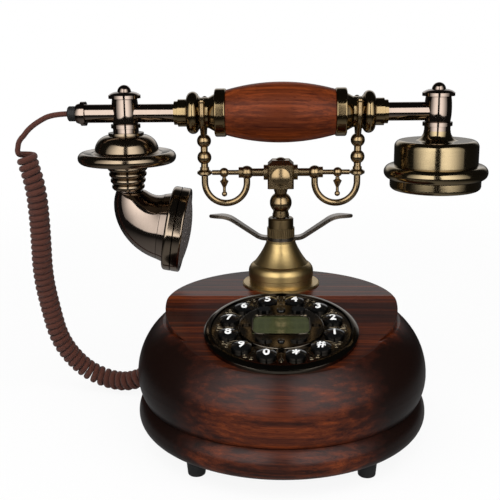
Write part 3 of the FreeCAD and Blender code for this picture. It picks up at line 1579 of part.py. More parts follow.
ear_cap_radius, ear_round = size("ear_cap_radius"), size("ear_cap_round")
ear_face = ring_bottom - size("ear_cap_height")
ear_floor = ear_face + size("ear_dish_depth") + size("ear_grille_thickness")
ear_cap = turned("earpiece_cap", [
    (0, ear_face + size("ear_dish_depth"), -crown(size("ear_dish_radius"), size("ear_dish_depth"))),
    (size("ear_dish_radius"), ear_face),
    (ear_cap_radius - ear_round, ear_face, ear_round),
    (ear_cap_radius, ear_face + ear_round),
    (ear_cap_radius, ring_bottom),
    (cap_fit - slip, ring_bottom),
    (cap_fit - slip, ring_bottom + size("ear_spigot_height")),
    (cap_fit - slip - ear_wall, ring_bottom + size("ear_spigot_height")),
    (cap_fit - slip - ear_wall, ear_floor),
    (0, ear_floor),
])
holes = [(0, 0, size("grille_hole_radius"))]
ear_ring_holes = int(SIZES["ear_ring_holes"])
for i in range(ear_ring_holes):
    turn = sized(360 / ear_ring_holes * i)
    holes.append((size("grille_pitch") * cosine(turn), size("grille_pitch") * sine(turn),
                  size("grille_hole_radius")))
pocket(ear_cap, draw_circles(new_sketch(ear_cap, "XY_Plane"), holes))
place(ear_cap, x=tee_out, y=back, z=handset_z)

microphone = horn_mouthed("microphone", [
    (0, cap_width - slip - cap_wall - size("capsule_height")),
    (cap - cap_wall - slip, cap_width - slip - cap_wall - size("capsule_height")),
    (cap - cap_wall - slip, cap_width - slip - cap_wall),
    (0, cap_width - slip - cap_wall),
])
receiver = turned("receiver", [
    (0, ear_floor),
    (ear_bore - slip * 2, ear_floor),
    (ear_bore - slip * 2, ear_floor + size("capsule_height")),
    (0, ear_floor + size("capsule_height")),
])
place(receiver, x=tee_out, y=back, z=handset_z)
group_of("sound_capsules", [microphone, receiver])

# Cord: a short plain lead from the boot, the curled length down to the desk, and its plug.
jack_angle = size("handset_jack_angle").number
outward = V(math.cos(math.radians(jack_angle)), math.sin(math.radians(jack_angle)), 0)
plug_seat = outward * (jack_face - size("port_depth") + slip).number
plug_seat.z = size("jack_centre_height").number
plug_back = plug_seat + outward * size("plug_length").number
plug = new_body("cord_plug")
pad(plug, draw_chain(new_sketch(plug, "YZ_Plane", lift=jack_face - size("port_depth") + slip),
                     box_outline(size("plug_width"), size("plug_height"), size("jack_centre_height"))),
    size("plug_length"))
place(plug, axis=V(0, 0, 1), turn=size("handset_jack_angle"))

boot_tip = V(boot_end.number, back.number, handset_z.number)
LEAD_ROUTE = [
    boot_tip,
    V(-164.2, 42.6, 225.3),
    V(-175.6, 42.6, 221.6),
    V(-185.0, 42.8, 214.5),
    V(-190.956, 42.58, 204.76),
    V(-188.1, 43.0, 193.0),
]
COIL_ROUTE = [
    LEAD_ROUTE[-1],
    V(-181.3, 44.0, 165.0),
    V(-179.7, 46.8, 134.0),
    V(-181.6, 51.3, 103.0),
    V(-178.8, 56.7, 74.0),
    V(-174.1, 60.0, 47.0),
    V(-160.7, 65.2, 24.5),
    V(-143.2, 69.1, 11.5),
    V(-120.6, 62.0, 10.5),
    plug_back + outward * size("plug_run").number,
    plug_back,
]


def rounded_route(points, label):
    """Straight runs joined by tangent arcs, each as large as its two runs allow."""
    edges, start, radii = [], points[0], []
    for before, corner, after in zip(points, points[1:], points[2:]):
        inward, outward_way = corner - before, after - corner
        half_turn = inward.getAngle(outward_way) / 2
        reach = min(inward.Length, outward_way.Length) * 0.45
        radii.append(reach / math.tan(half_turn))
        inward.normalize()
        outward_way.normalize()
        first, last = corner - inward * reach, corner + outward_way * reach
        bisector = (outward_way - inward).normalize()
        middle = corner + bisector * (radii[-1] / math.cos(half_turn) - radii[-1])
        edges.append(Part.LineSegment(start, first).toShape())
        edges.append(Part.Arc(first, middle, last).toShape())
        start = last
    edges.append(Part.LineSegment(start, points[-1]).toShape())
    line = Part.Wire(edges)
    print(f"{label}: length {line.Length:.1f}, radii", [round(r, 1) for r in radii])
    return line


def between(items, at):
    """The value at a place that lies between two entries of a list."""
    low = min(int(at), len(items) - 2)
    return items[low] + (items[low + 1] - items[low]) * (at - low)


def curl_points(line, winding, pitch, straight, lead):
    """Points and directions of a wire that sets out straight along a line, winds about it in half
    turns, and ends straight. The pitch is kept on the inside of each bend, so bends have fewer turns."""
    spots = line.discretize(round(line.Length * CURL_SAMPLES))
    step = line.Length / (len(spots) - 1)
    ahead = [(b - a).normalize() for a, b in zip(spots, spots[1:])]
    ahead.append(ahead[-1])
    sides, turned = [ahead[0].cross(V(0, 1, 0)).normalize()], [0.0]
    for before, after in zip(ahead, ahead[1:]):
        sides.append((sides[-1] - after * sides[-1].dot(after)).normalize())
        turned.append(turned[-1] + (step - winding * before.getAngle(after)) / pitch)
    first = round((straight + lead) / step)
    last = len(spots) - 1 - first
    halves = int((turned[last] - turned[first]) * 2)
    half_turn = (turned[last] - turned[first]) / halves

    def wound(at):
        """The wire's centre beside the line, so many samples along it."""
        angle = math.pi * (between(turned, at) - turned[first]) / half_turn
        side, way = between(sides, at), between(ahead, at)
        return between(spots, at) + (side * math.cos(angle) + way.cross(side) * math.sin(angle)) * winding

    points, ways = [spots[0], spots[0] + ahead[0] * straight], [ahead[0], ahead[0]]
    at = first
    for i in range(halves + 1):
        share = turned[first] + half_turn * i
        while at < last - 1 and turned[at + 1] < share:
            at += 1
        place_on = at + (share - turned[at]) / (turned[at + 1] - turned[at])
        points.append(wound(place_on))
        ways.append((wound(place_on + 0.02) - wound(place_on - 0.02)).normalize())
    points += [spots[-1] - ahead[-1] * straight, spots[-1]]
    return points, ways + [ahead[-1], ahead[-1]], halves / 2


def least_gap(line, radius, apart):
    """Smallest space between two stretches of a wire that lie more than so far apart along it."""
    spots = line.discretize(round(line.Length))
    least = min((a - b).Length for i, a in enumerate(spots) for b in spots[i + apart:])
    return least - radius * 2


cord = size("cord_radius").number
lead_line = rounded_route(LEAD_ROUTE, "cord_lead")
lead_ring = Part.Wire(Part.Circle(LEAD_ROUTE[0], LEAD_ROUTE[1] - LEAD_ROUTE[0], cord).toShape())
lead_tube = shaped("cord_lead", lead_line.makePipeShell([lead_ring], True, False))
print(f"cord_lead: volume share {lead_tube.Shape.Volume / (math.pi * cord ** 2 * lead_line.Length):.4f}")

CURL_SAMPLES = 4
winding = size("coil_radius").number - cord
curls, curl_ways, turns = curl_points(rounded_route(COIL_ROUTE, "cord_coil"), winding,
                                      size("curl_pitch").number, cord * 2, size("curl_lead").number)
curl_line = biarc_line(curls, curl_ways)
shaped("cord_coil", wire_tube(curl_line, curl_ways[0], cord))
tightest = min(edge.Curve.Radius for edge in curl_line.Edges if hasattr(edge.Curve, "Radius"))
print(f"cord_coil: {turns} turns, wire {curl_line.Length:.0f} long, tightest arc {tightest:.2f}, "
      f"least gap to itself {least_gap(curl_line, cord, round(math.pi * winding)):.2f}")

doc.recompute()
for item in doc.Objects:
    if "Invalid" in item.State or "Error" in item.State:
        raise RuntimeError(f"{item.Label} failed: {item.State}")
for item in PARTS:
    if item.Shape.isNull() or not item.Shape.isValid():
        raise RuntimeError(f"{item.Label} has no valid shape")

os.makedirs("parts", exist_ok=True)
for item in PARTS:
    item.Shape.exportStep(f"parts/{item.Label}.step")
print(len(PARTS), "parts,", sum(len(item.Shape.Solids) for item in PARTS), "solids")
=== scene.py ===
import math

import bmesh
import bpy
import numpy as np
from mathutils import Matrix, Vector


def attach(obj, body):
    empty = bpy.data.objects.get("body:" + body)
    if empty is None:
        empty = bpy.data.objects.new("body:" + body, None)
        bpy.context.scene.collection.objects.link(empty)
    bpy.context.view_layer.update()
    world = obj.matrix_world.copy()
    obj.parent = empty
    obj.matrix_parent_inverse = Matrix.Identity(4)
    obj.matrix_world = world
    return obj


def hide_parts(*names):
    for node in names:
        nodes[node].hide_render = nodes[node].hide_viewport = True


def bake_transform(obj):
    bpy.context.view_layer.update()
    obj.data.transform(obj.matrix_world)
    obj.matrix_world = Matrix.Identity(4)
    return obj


# The desk telephone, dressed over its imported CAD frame. Lengths are in metres, with the object's
# own axes: X to the right of someone facing the dial, Y away from them, Z up, desk at Z = 0.
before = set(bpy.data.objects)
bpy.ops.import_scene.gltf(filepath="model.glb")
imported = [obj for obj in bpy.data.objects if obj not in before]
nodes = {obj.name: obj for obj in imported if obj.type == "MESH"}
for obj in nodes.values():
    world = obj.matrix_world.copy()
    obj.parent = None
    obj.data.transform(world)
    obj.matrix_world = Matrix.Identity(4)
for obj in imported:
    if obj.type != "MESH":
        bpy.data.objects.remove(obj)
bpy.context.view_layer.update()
scene = bpy.context.scene
mm = 0.001

# Camera: it stands a little above the dial and looks slightly down, at the photograph's angle. Its
# place was found by matching the base, the dial and the handset with the 500 pixel frame.
focal_pixels, frame_pixels, sensor_width = 850.0, 500.0, 36.0
camera_place = Vector((-0.0006, -0.5683, 0.276))
camera_yaw, camera_pitch, camera_roll = -0.0364, 0.2432, -0.0109
ahead = Vector((math.sin(camera_yaw) * math.cos(camera_pitch),
                math.cos(camera_yaw) * math.cos(camera_pitch), -math.sin(camera_pitch)))
level = Vector((math.cos(camera_yaw), -math.sin(camera_yaw), 0.0))
upright = level.cross(ahead)
right = level * math.cos(camera_roll) + upright * math.sin(camera_roll)
top = upright * math.cos(camera_roll) - level * math.sin(camera_roll)
camera = bpy.data.objects.new("camera", bpy.data.cameras.new("camera"))
camera.data.sensor_width = sensor_width
camera.data.lens = focal_pixels / frame_pixels * sensor_width
nearest_seen, farthest_seen = 0.02, 50.0
camera.data.clip_start, camera.data.clip_end = nearest_seen, farthest_seen
camera.matrix_world = Matrix.LocRotScale(
    camera_place, Matrix((right, top, -ahead)).transposed().to_quaternion(), None)
scene.collection.objects.link(camera)
scene.camera = camera


class Flow:
    """A value, colour or vector on its way through a shader. Sums of flows and numbers add their nodes."""

    def __init__(self, tree, socket=None):
        self.tree = tree
        self.socket = socket

    def node(self, kind, sockets=None, out=0, stops=None, **settings):
        """Add a node: its settings and ramp stops first, then its sockets by name or place."""
        made = self.tree.nodes.new("ShaderNode" + kind)
        for name, value in settings.items():
            setattr(made, name, value)
        if stops:
            ramp = made.color_ramp
            while len(ramp.elements) < len(stops):
                ramp.elements.new(0.5)
            for element, (place, colour) in zip(ramp.elements, stops):
                element.position = place
                element.color = (*colour, 1.0)
        for name, value in (sockets or {}).items():
            if isinstance(value, Flow):
                self.tree.links.new(value.socket, made.inputs[name])
            else:
                made.inputs[name].default_value = value
        return Flow(self.tree, made.outputs[out])

    def maths(self, operation, one, two):
        return self.node("Math", {0: one, 1: two}, operation=operation)

    def __add__(self, other):
        return self.maths("ADD", self, other)

    def __sub__(self, other):
        return self.maths("SUBTRACT", self, other)

    def __rsub__(self, other):
        return self.maths("SUBTRACT", other, self)

    def __mul__(self, other):
        return self.maths("MULTIPLY", self, other)

    def __truediv__(self, other):
        return self.maths("DIVIDE", self, other)

    def __pow__(self, other):
        return self.maths("POWER", self, other)

    __radd__, __rmul__ = __add__, __mul__

    def sine(self):
        return self.maths("SINE", self, 0.0)

    def size(self):
        return self.maths("ABSOLUTE", self, 0.0)

    def folded(self):
        """Up and down between 0 and 1, turning back at each whole number."""
        return self.maths("PINGPONG", self, 1.0)

    def most(self, other):
        return self.maths("MAXIMUM", self, other)

    def least(self, other):
        return self.maths("MINIMUM", self, other)

    def step(self, low, high):
        """0 below low, 1 above high, smooth between them."""
        return self.node("MapRange", {0: self, 1: low, 2: high}, interpolation_type="SMOOTHSTEP")

    def tint(self, low, high):
        """The colour low where this value is 0 and high where it is 1."""
        low, high = ((*c, 1.0) if isinstance(c, tuple) else c for c in (low, high))
        return self.node("Mix", {0: self, 6: low, 7: high}, out=2, data_type="RGBA")

    def stretched(self, x, y, z):
        """A vector with each part multiplied, so a pattern repeats that many times a metre."""
        return self.node("VectorMath", {0: self, 1: (x, y, z)}, operation="MULTIPLY")

    def along(self, way, start):
        """How far this place lies from start, measured along a unit vector."""
        reach = self.node("VectorMath", {0: self, 1: tuple(way)}, out=1, operation="DOT_PRODUCT")
        return reach - Vector(start).dot(Vector(way))

    def part(self, axis):
        return self.node("SeparateXYZ", {0: self}, out=axis)

    def noise(self, detail=3.0, roughness=0.5, distortion=0.0):
        return self.node("TexNoise", {"Vector": self, "Scale": 1.0, "Detail": detail,
                                      "Roughness": roughness, "Distortion": distortion})


class Finish:
    """A material with one Principled shader. Constants and flows go on its sockets by name."""

    def __init__(self, name, **constants):
        self.material = bpy.data.materials.new(name)
        self.material.use_nodes = True
        self.tree = self.material.node_tree
        self.tree.nodes.clear()
        self.shader = self.tree.nodes.new("ShaderNodeBsdfPrincipled")
        output = self.tree.nodes.new("ShaderNodeOutputMaterial")
        self.tree.links.new(self.shader.outputs[0], output.inputs[0])
        self.start = Flow(self.tree)
        for socket, value in constants.items():
            self.set(socket.replace("_", " "), value)

    def set(self, socket, value):
        if isinstance(value, Flow):
            self.tree.links.new(value.socket, self.shader.inputs[socket])
        elif isinstance(value, tuple):
            self.shader.inputs[socket].default_value = (*value, 1.0)
        else:
            self.shader.inputs[socket].default_value = value

    def place(self):
        """Object coordinates, in metres."""
        return self.start.node("TexCoord", out="Object")

    def bump(self, height, depth):
        """Relief in the surface from a height of 0 to 1, so many metres deep."""
        self.set("Normal", self.start.node("Bump", {"Height": height, "Distance": depth,
                                                    "Strength": 1.0}))

    def put_on(self, *pieces):
        for piece in pieces:
            piece.data.materials.clear()
            piece.data.materials.append(self.material)


# Studio: two large soft boxes left and right of the camera, whose cloth fades outwards and shows in
# the metal, and a pair of lamps higher up that gives the light itself. Each row has the distance,
# the turn and lift in degrees, the width, the height, and how bright it looks.
aim_point = Vector((0.0, 0.0, 0.20))
soft_boxes = {"cloth": (1.10, 40.0, 26.0, 1.24, 1.34, 3.4),
              "light": (1.30, 35.0, 48.0, 1.30, 1.10, 2.3)}
cloth_reach, cloth_outer_edge = 0.8, 0.15
for purpose, (distance, turn, lift, width, height, brightness) in soft_boxes.items():
    turn, lift = math.radians(turn), math.radians(lift)
    for side in (-1, 1):
        lamp = bpy.data.lights.new(f"soft_box_{purpose}_{'left' if side < 0 else 'right'}", "AREA")
        lamp.shape = "RECTANGLE"
        lamp.size, lamp.size_y = width, height
        lamp.energy = brightness * math.pi * width * height
        lamp_object = bpy.data.objects.new(lamp.name, lamp)
        outward = Vector((side * math.sin(turn) * math.cos(lift), -math.cos(turn) * math.cos(lift),
                          math.sin(lift)))
        lamp_object.location = aim_point + outward * distance
        facing = -outward
        if purpose == "cloth":
            facing.z = 0.0
            lamp.use_nodes = True
            cloth = Flow(lamp.node_tree)
            across = cloth.node("NewGeometry", out="Parametric").part(0)
            inward = across if side < 0 else 1 - across
            fade = inward.step(0.0, cloth_reach) * (1 - cloth_outer_edge) + cloth_outer_edge
            lamp.node_tree.links.new(fade.socket, lamp.node_tree.nodes["Emission"].inputs["Strength"])
        lamp_object.rotation_euler = facing.to_track_quat("-Z", "Y").to_euler()
        lamp_object.visible_diffuse = purpose == "light"
        lamp_object.visible_glossy = purpose == "cloth"
        scene.collection.objects.link(lamp_object)

# Room: white for the camera and through glass. Metal and varnish see a white sheet behind the object,
# from the table up to half height, and a dark room elsewhere. A soft fill reaches matt surfaces.
sheet_edges, sheet_top, sheet_foot, sheet_foot_level = (0.70, 0.95), (0.45, 0.75), (0.05, 0.25), 0.1
fill_level, dim_level = 0.40, 0.015
world = bpy.data.worlds.new("studio")
scene.world = world
world.use_nodes = True
room = Flow(world.node_tree)
world.node_tree.nodes.clear()
ray = {name: room.node("LightPath", out=name)
       for name in ("Is Camera Ray", "Is Glossy Ray", "Is Transmission Ray")}
look = room.node("TexCoord", out="Generated")
foot = look.part(2).step(*sheet_foot) * (1 - sheet_foot_level) + sheet_foot_level
sheet_side = look.part(1).step(*sheet_edges) * (1 - look.part(2).step(*sheet_top)) * foot
seen = ray["Is Camera Ray"].most(ray["Is Transmission Ray"]).most(ray["Is Glossy Ray"] * sheet_side)
dimness = ray["Is Glossy Ray"] * (dim_level - fill_level) + fill_level
surround = room.node("Background", {"Color": (1.0, 1.0, 1.0, 1.0),
                                    "Strength": seen + (1 - seen) * dimness})
world_output = world.node_tree.nodes.new("ShaderNodeOutputWorld")
world.node_tree.links.new(surround.socket, world_output.inputs[0])

# Floor: white paper. The camera sees it white with a faint shadow round the feet. Metal sees only
# a dim patch of it near the object.
floor_half, shadow_near, shadow_far, shadow_share = 6.0, 0.28, 1.1, 0.09
patch_near, patch_far, patch_level, beyond_level = 0.12, 0.45, 0.30, 0.02
floor_mesh = bpy.data.meshes.new("floor")
floor_mesh.from_pydata([(-floor_half, -floor_half, 0.0), (floor_half, -floor_half, 0.0),
                        (floor_half, floor_half, 0.0), (-floor_half, floor_half, 0.0)],
                       [], [(0, 1, 2, 3)])
floor = bpy.data.objects.new("floor", floor_mesh)
scene.collection.objects.link(floor)
paper = Finish("paper_floor", Base_Color=(0.93, 0.93, 0.93), Roughness=0.5)
paper.set("Specular IOR Level", 0.2)
by_camera = paper.start.node("LightPath", out="Is Camera Ray")
by_mirror = paper.start.node("LightPath", out="Is Glossy Ray").most(
    paper.start.node("LightPath", out="Is Transmission Ray"))
from_middle = paper.place().node("VectorMath", {0: paper.place()}, out=1, operation="LENGTH")
near_object = 1 - from_middle.step(shadow_near, shadow_far)
in_metal = (1 - from_middle.step(patch_near, patch_far)) * (patch_level - beyond_level) + beyond_level
level_seen = 1 - by_mirror * (1 - in_metal)
glow = paper.start.node("Emission", {"Color": level_seen.tint((0.0, 0.0, 0.0), (1.0, 1.0, 1.0)),
                                     "Strength": 1.0})
share = by_mirror + by_camera * (1 - near_object * shadow_share)
mixed = paper.start.node("MixShader", {0: share, 1: Flow(paper.tree, paper.shader.outputs[0]), 2: glow})
paper.tree.links.new(mixed.socket, paper.tree.nodes["Material Output"].inputs[0])
paper.put_on(floor)
scene.view_settings.view_transform = "Standard"


# Handset cord: a brown cord with a woven cover. A short plain lead leaves the rubber boot, turns down
# and winds into close curls, which hang to the desk and run behind the base to a plug in the plinth.
cord_radius, curl_outer_radius = 1.95 * mm, 7.7 * mm
curl_flatness, curl_count = 1.2, 48.5
boot_tip = (-0.1523, 0.0426, 0.2253)
curl_start = (-0.1850, 0.0430, 0.1995)
plug_back = (-0.08789, 0.05177, 0.0220)
cord_route = [
    boot_tip, (-0.1642, 0.0426, 0.2250), (-0.1745, 0.0426, 0.2200), (-0.1828, 0.0428, 0.2140),
    (-0.1878, 0.0428, 0.2070), (-0.1852, 0.0430, 0.1990), (-0.1840, 0.0430, 0.1890),
    (-0.1810, 0.0433, 0.1774), (-0.1793, 0.0440, 0.1624), (-0.1797, 0.0468, 0.1340),
    (-0.1816, 0.0513, 0.1030), (-0.1788, 0.0567, 0.0740), (-0.1741, 0.0600, 0.0470),
    (-0.1607, 0.0652, 0.0245), (-0.1432, 0.0691, 0.0115), (-0.1206, 0.0620, 0.0105),
    (-0.09995, 0.05887, 0.0220), plug_back,
]
route_curve = bpy.data.curves.new("cord_route", "CURVE")
route_curve.dimensions = "3D"
route_curve.resolution_u = 64
spline = route_curve.splines.new("NURBS")
spline.points.add(len(cord_route) - 1)
spline.points.foreach_set("co", np.array([(*p, 1.0) for p in cord_route]).ravel())
spline.order_u = 3
spline.use_endpoint_u = True
route_object = bpy.data.objects.new("cord_route", route_curve)
scene.collection.objects.link(route_object)
route_mesh = bpy.data.meshes.new_from_object(route_object)
route = np.empty(len(route_mesh.vertices) * 3)
route_mesh.vertices.foreach_get("co", route)
bpy.data.objects.remove(route_object)


def lengths_along(points):
    """How far along a line each of its points lies."""
    return np.concatenate([[0.0], np.cumsum(np.linalg.norm(np.diff(points, axis=0), axis=1))])


def ways_along(points):
    """The unit tangent at each point of a line."""
    ways = np.gradient(points, axis=0)
    return ways / np.linalg.norm(ways, axis=1)[:, None]


def evened(points, gap):
    """The same line with its points evenly spaced."""
    along = lengths_along(points)
    places = np.linspace(0.0, along[-1], round(along[-1] / gap) + 1)
    return np.column_stack([np.interp(places, along, points[:, k]) for k in range(3)])


def eased(values, low, high):
    """0 up to low, 1 from high on, and 3 s^2 - 2 s^3 between them."""
    share = np.clip((values - low) / (high - low), 0.0, 1.0)
    return share * share * (3 - 2 * share)


def curled(points, first, last, winding, count, ramp, first_turn):
    """A helix about a line: centre + winding * (side * cos + rise * sin), turned count times.

    The wire moves out from the line before first, turns between first and last, and moves back in
    after last. The turns lie as close on the inside of a bend as where the line is straight.
    """
    along, ways = lengths_along(points), ways_along(points)
    side = np.cross(ways, (0.0, 1.0, 0.0))
    side /= np.linalg.norm(side, axis=1)[:, None]
    rise = np.cross(ways, side)
    bend = np.concatenate([[0.0], np.arccos(np.clip((ways[1:] * ways[:-1]).sum(1), -1, 1))])
    pace = eased(along, first, first + ramp / 2) * eased(-along, -last, ramp / 2 - last)
    turned = np.cumsum(np.maximum(np.gradient(along) - winding * bend, 0.0) * pace)
    turned *= count / turned[-1]
    width = winding * eased(along, first - ramp, first) * eased(-along, -last - ramp, -last)
    turns = 2 * math.pi * (turned + first_turn)
    out = side * np.cos(turns)[:, None] + rise * np.sin(turns)[:, None]
    return points + out * width[:, None], out, width / winding


def tube(points, out, radius, sides, breadth=1.0):
    """Rings about a line: point + radius * (out * cos + breadth * across * sin), with flat ends."""
    ways = ways_along(points)
    out = out - ways * (out * ways).sum(1)[:, None]
    out = out / np.linalg.norm(out, axis=1)[:, None]
    across = np.cross(ways, out)
    around = np.arange(sides) * 2 * math.pi / sides
    radius, breadth = (np.broadcast_to(v, len(points))[:, None, None] for v in (radius, breadth))
    corners = (points[:, None] + radius * (out[:, None] * np.cos(around)[None, :, None]
                                           + breadth * across[:, None] * np.sin(around)[None, :, None]))
    places = np.arange(len(points) * sides)
    ends = [places[sides - 1::-1].tolist(), places[-sides:].tolist()]
    return corners.reshape(-1, 3), ring_faces(len(points), sides).tolist() + ends


def ring_faces(rings, sides):
    """Four-sided faces between neighbours on a tube's rings, ring by ring."""
    ring, side = np.meshgrid(np.arange(rings - 1), np.arange(sides), indexing="ij")
    following = (side + 1) % sides
    return np.stack([ring * sides + side, ring * sides + following,
                     (ring + 1) * sides + following, (ring + 1) * sides + side],
                    axis=-1).reshape(-1, 4)


def piece_from(name, corners, faces):
    """A smooth mesh object at the origin from corners and faces."""
    mesh = bpy.data.meshes.new(name)
    mesh.from_pydata(np.asarray(corners).tolist(), [], faces)
    mesh.polygons.foreach_set("use_smooth", [True] * len(mesh.polygons))
    mesh.update()
    made = bpy.data.objects.new(name, mesh)
    scene.collection.objects.link(made)
    return made


route_gap, cord_sides = 0.22 * mm, 12
curl_straight, curl_ramp, first_turn = cord_radius * 2, 12.0 * mm, 0.5
route = evened(route.reshape(-1, 3), route_gap)
lead_end = lengths_along(route)[np.linalg.norm(route - curl_start, axis=1).argmin()]
curl_end = lengths_along(route)[-1] - curl_straight - curl_ramp
wire, wire_out, curl_share = curled(route, lead_end, curl_end, curl_outer_radius - cord_radius,
                                    curl_count, curl_ramp, first_turn)
cord_corners, cord_faces = tube(wire, wire_out, cord_radius, cord_sides,
                                breadth=1 + (curl_flatness - 1) * curl_share)
cord = piece_from("handset_cord", cord_corners, cord_faces)
wire_along = lengths_along(wire)

# The weave's own map: u is the length along the wire in radii, v goes once round it. The last strip
# of each ring ends at v = 1 in place of 0.
weave = cord.data.uv_layers.new(name="weave")
corner_index = np.empty(len(cord.data.loops), int)
cord.data.loops.foreach_get("vertex_index", corner_index)
ring_of_corner, side_of_corner = corner_index // cord_sides, corner_index % cord_sides
first_side = np.append(np.repeat(np.array(cord_faces[:-2])[:, 0] % cord_sides, 4),
                       np.zeros(2 * cord_sides, int))
side_of_corner[(first_side == cord_sides - 1) & (side_of_corner == 0)] = cord_sides
weave.data.foreach_set("uv", np.column_stack([
    wire_along[ring_of_corner] / cord_radius, side_of_corner / cord_sides]).ravel())

yarn = Finish("woven_cord", Roughness=0.8)
yarn.set("Specular IOR Level", 0.2)
yarn.set("Sheen Weight", 0.12)
yarn.set("Sheen Roughness", 0.5)
woven = yarn.start.node("UVMap", uv_map="weave")
strands, braid_share, fuzz_share, shade_share = 8.0, 0.55, 0.3, 0.25
along_yarn, around_yarn = woven.part(0) * (strands / 4), woven.part(1) * strands
left_lay = ((along_yarn + around_yarn) * (2 * math.pi)).sine()
right_lay = ((along_yarn - around_yarn) * (2 * math.pi)).sine()
braid = left_lay.most(right_lay) * 0.5 + 0.5
fuzz = yarn.place().stretched(2600, 2600, 2600).noise(detail=2.0)
shade = yarn.place().stretched(60, 60, 60).noise(detail=2.0)
yarn.set("Base Color", (braid * braid_share + fuzz * fuzz_share + shade * shade_share).tint(
    (0.016, 0.0045, 0.003), (0.105, 0.028, 0.015)))
yarn.bump(braid + fuzz * 0.4, 0.18 * mm)
yarn.put_on(cord)
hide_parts("cord_lead", "cord_coil")
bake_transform(cord)

plug_plastic = Finish("clear_plug", Base_Color=(0.62, 0.62, 0.58), Roughness=0.08)
plug_plastic.set("Transmission Weight", 0.85)
plug_plastic.set("IOR", 1.49)
plug_plastic.bump(plug_plastic.place().stretched(300, 300, 300).noise(), 0.02 * mm)
plug_plastic.put_on(nodes["cord_plug"])


# Base: a turned case and plinth of red-brown wood, stained dark and varnished. The boards' grain
# runs from side to side. The left and right sides of the rounds are darker, as painted shade, and
# the stain is lighter low on the rounds and on the platform's top, where orange shows through.
broad_grain, band_grain, fibre_grain, pore_grain = (
    (2.5, 55, 75), (4.5, 260, 330), (50, 2100, 2100), (170, 1700, 1700))
broad_share, band_share, fibre_share = 0.44, 0.42, 0.14
grain_drift, pore_edges = 0.010, (0.60, 0.70)
stain_places, stain_middle, stain_contrast = (0.37, 0.48, 0.57, 0.70), 0.47, 0.86
low_lift, top_lift, platform_edge = 0.055, 0.03, (0.0975, 0.0985)
round_start, round_end, shade_side_edges, shade_side_calm = 0.080, 0.092, (0.14, 0.60), 0.6


def varnished(name, dark, middle, warm, light, streak, coat, gloss, lighter_below=0.0, painted_side_shade=0.0):
    """Wood with straight streaks, fine fibres and short pores along X, under a clear varnish.

    The stain is broad streaks + narrow bands + fibres, and goes from dark to light over a ramp.
    """
    wood = Finish(name, Coat_Weight=coat, Coat_Roughness=0.27, Coat_IOR=1.5)
    wood.set("Specular IOR Level", gloss)
    place = wood.place()
    wander = place.stretched(6, 11, 11).noise(detail=2.0) * grain_drift
    bent = place.node("VectorMath", {0: place, 1: place.node("CombineXYZ", {1: wander, 2: wander})},
                      operation="ADD")
    broad = bent.stretched(*(streak * n for n in broad_grain)).noise(3.0, 0.55, 0.2)
    bands = bent.stretched(*(streak * n for n in band_grain)).noise(3.0, 0.6)
    fibres = bent.stretched(*fibre_grain).noise(2.0, 0.6)
    pores = bent.stretched(*pore_grain).noise(1.0).step(*pore_edges)
    stain = broad * broad_share + bands * band_share + fibres * fibre_share
    if lighter_below:
        # The stain is lighter below a height on the rounds and on the platform's top.
        low_down = 1 - place.part(2).step(lighter_below * 0.62, lighter_below)
        stain = stain + low_down * low_lift + place.part(2).step(*platform_edge) * top_lift
    # Painted shade: towards the left and right sides of the rounds the stain is darker and its grain
    # calmer.
    if painted_side_shade:
        across, depth = place.part(0) ** 2.0, place.part(1) ** 2.0
        outside = (across + depth).step(round_start ** 2, round_end ** 2)
        side = (across / (across + depth)).step(*shade_side_edges) * outside
        stain = (stain - stain_middle) * (stain_contrast - side * shade_side_calm) + (
            stain_middle - side * painted_side_shade)
    colour = stain.node("ValToRGB", {0: stain}, stops=list(zip(stain_places, (dark, middle, warm, light))))
    wood.set("Base Color", (pores * 0.5).tint(colour, dark))
    wood.set("Roughness", fibres * 0.16 + 0.36)
    wood.bump(fibres * 0.6 + bands * 0.4 - pores * 0.8, 0.015 * mm)
    return wood


case_wood = varnished("case_wood", (0.008, 0.003, 0.002), (0.026, 0.006, 0.003),
                      (0.085, 0.016, 0.004), (0.260, 0.050, 0.008), streak=1.0, coat=0.36, gloss=0.02,
                      lighter_below=0.078, painted_side_shade=0.17)
case_wood.put_on(nodes["upper_case"], nodes["lower_case"])


# Feet, cover and what is held inside: moulded black rubber, matt black plastic, plain steel, and
# green boards with bare copper tracks. The cord's boot is of the same rubber as the feet, and only
# these two show from above.
rubber = Finish("black_rubber")
rubber.set("Specular IOR Level", 0.25)
grain = rubber.place().stretched(900, 900, 900).noise(detail=3.0)
rubber.set("Base Color", grain.tint((0.006, 0.006, 0.006), (0.016, 0.016, 0.016)))
rubber.set("Roughness", grain * 0.25 + 0.45)
rubber.bump(grain, 0.015 * mm)
rubber.put_on(nodes["rubber_feet"], nodes["keypad_mat"], nodes["cord_boot"])

moulded = Finish("black_plastic")
spark = moulded.place().stretched(1400, 1400, 1400).noise(detail=4.0)
moulded.set("Base Color", spark.tint((0.010, 0.010, 0.010), (0.026, 0.026, 0.026)))
moulded.set("Roughness", spark * 0.3 + 0.4)
moulded.bump(spark, 0.03 * mm)
moulded.put_on(*(nodes[n] for n in ("bottom_cover", "hook_switch", "modular_jacks", "ringer_speaker",
                                    "sound_capsules")))

steel = Finish("plain_steel", Metallic=1.0)
drawn = steel.place().stretched(400, 400, 2500).noise(detail=2.0)
steel.set("Base Color", drawn.tint((0.42, 0.42, 0.43), (0.66, 0.66, 0.67)))
steel.set("Roughness", drawn * 0.2 + 0.22)
steel.put_on(nodes["cover_screws"], nodes["hook_spring"])

board = Finish("circuit_board", Roughness=0.3)
tracks = board.place().stretched(330, 330, 330).node(
    "TexVoronoi", {"Scale": 1.0}, distance="CHEBYCHEV").step(0.46, 0.52)
board.set("Base Color", tracks.tint((0.012, 0.085, 0.035), (0.30, 0.15, 0.06)))
board.bump(tracks, 0.04 * mm)
board.put_on(nodes["circuit_boards"])


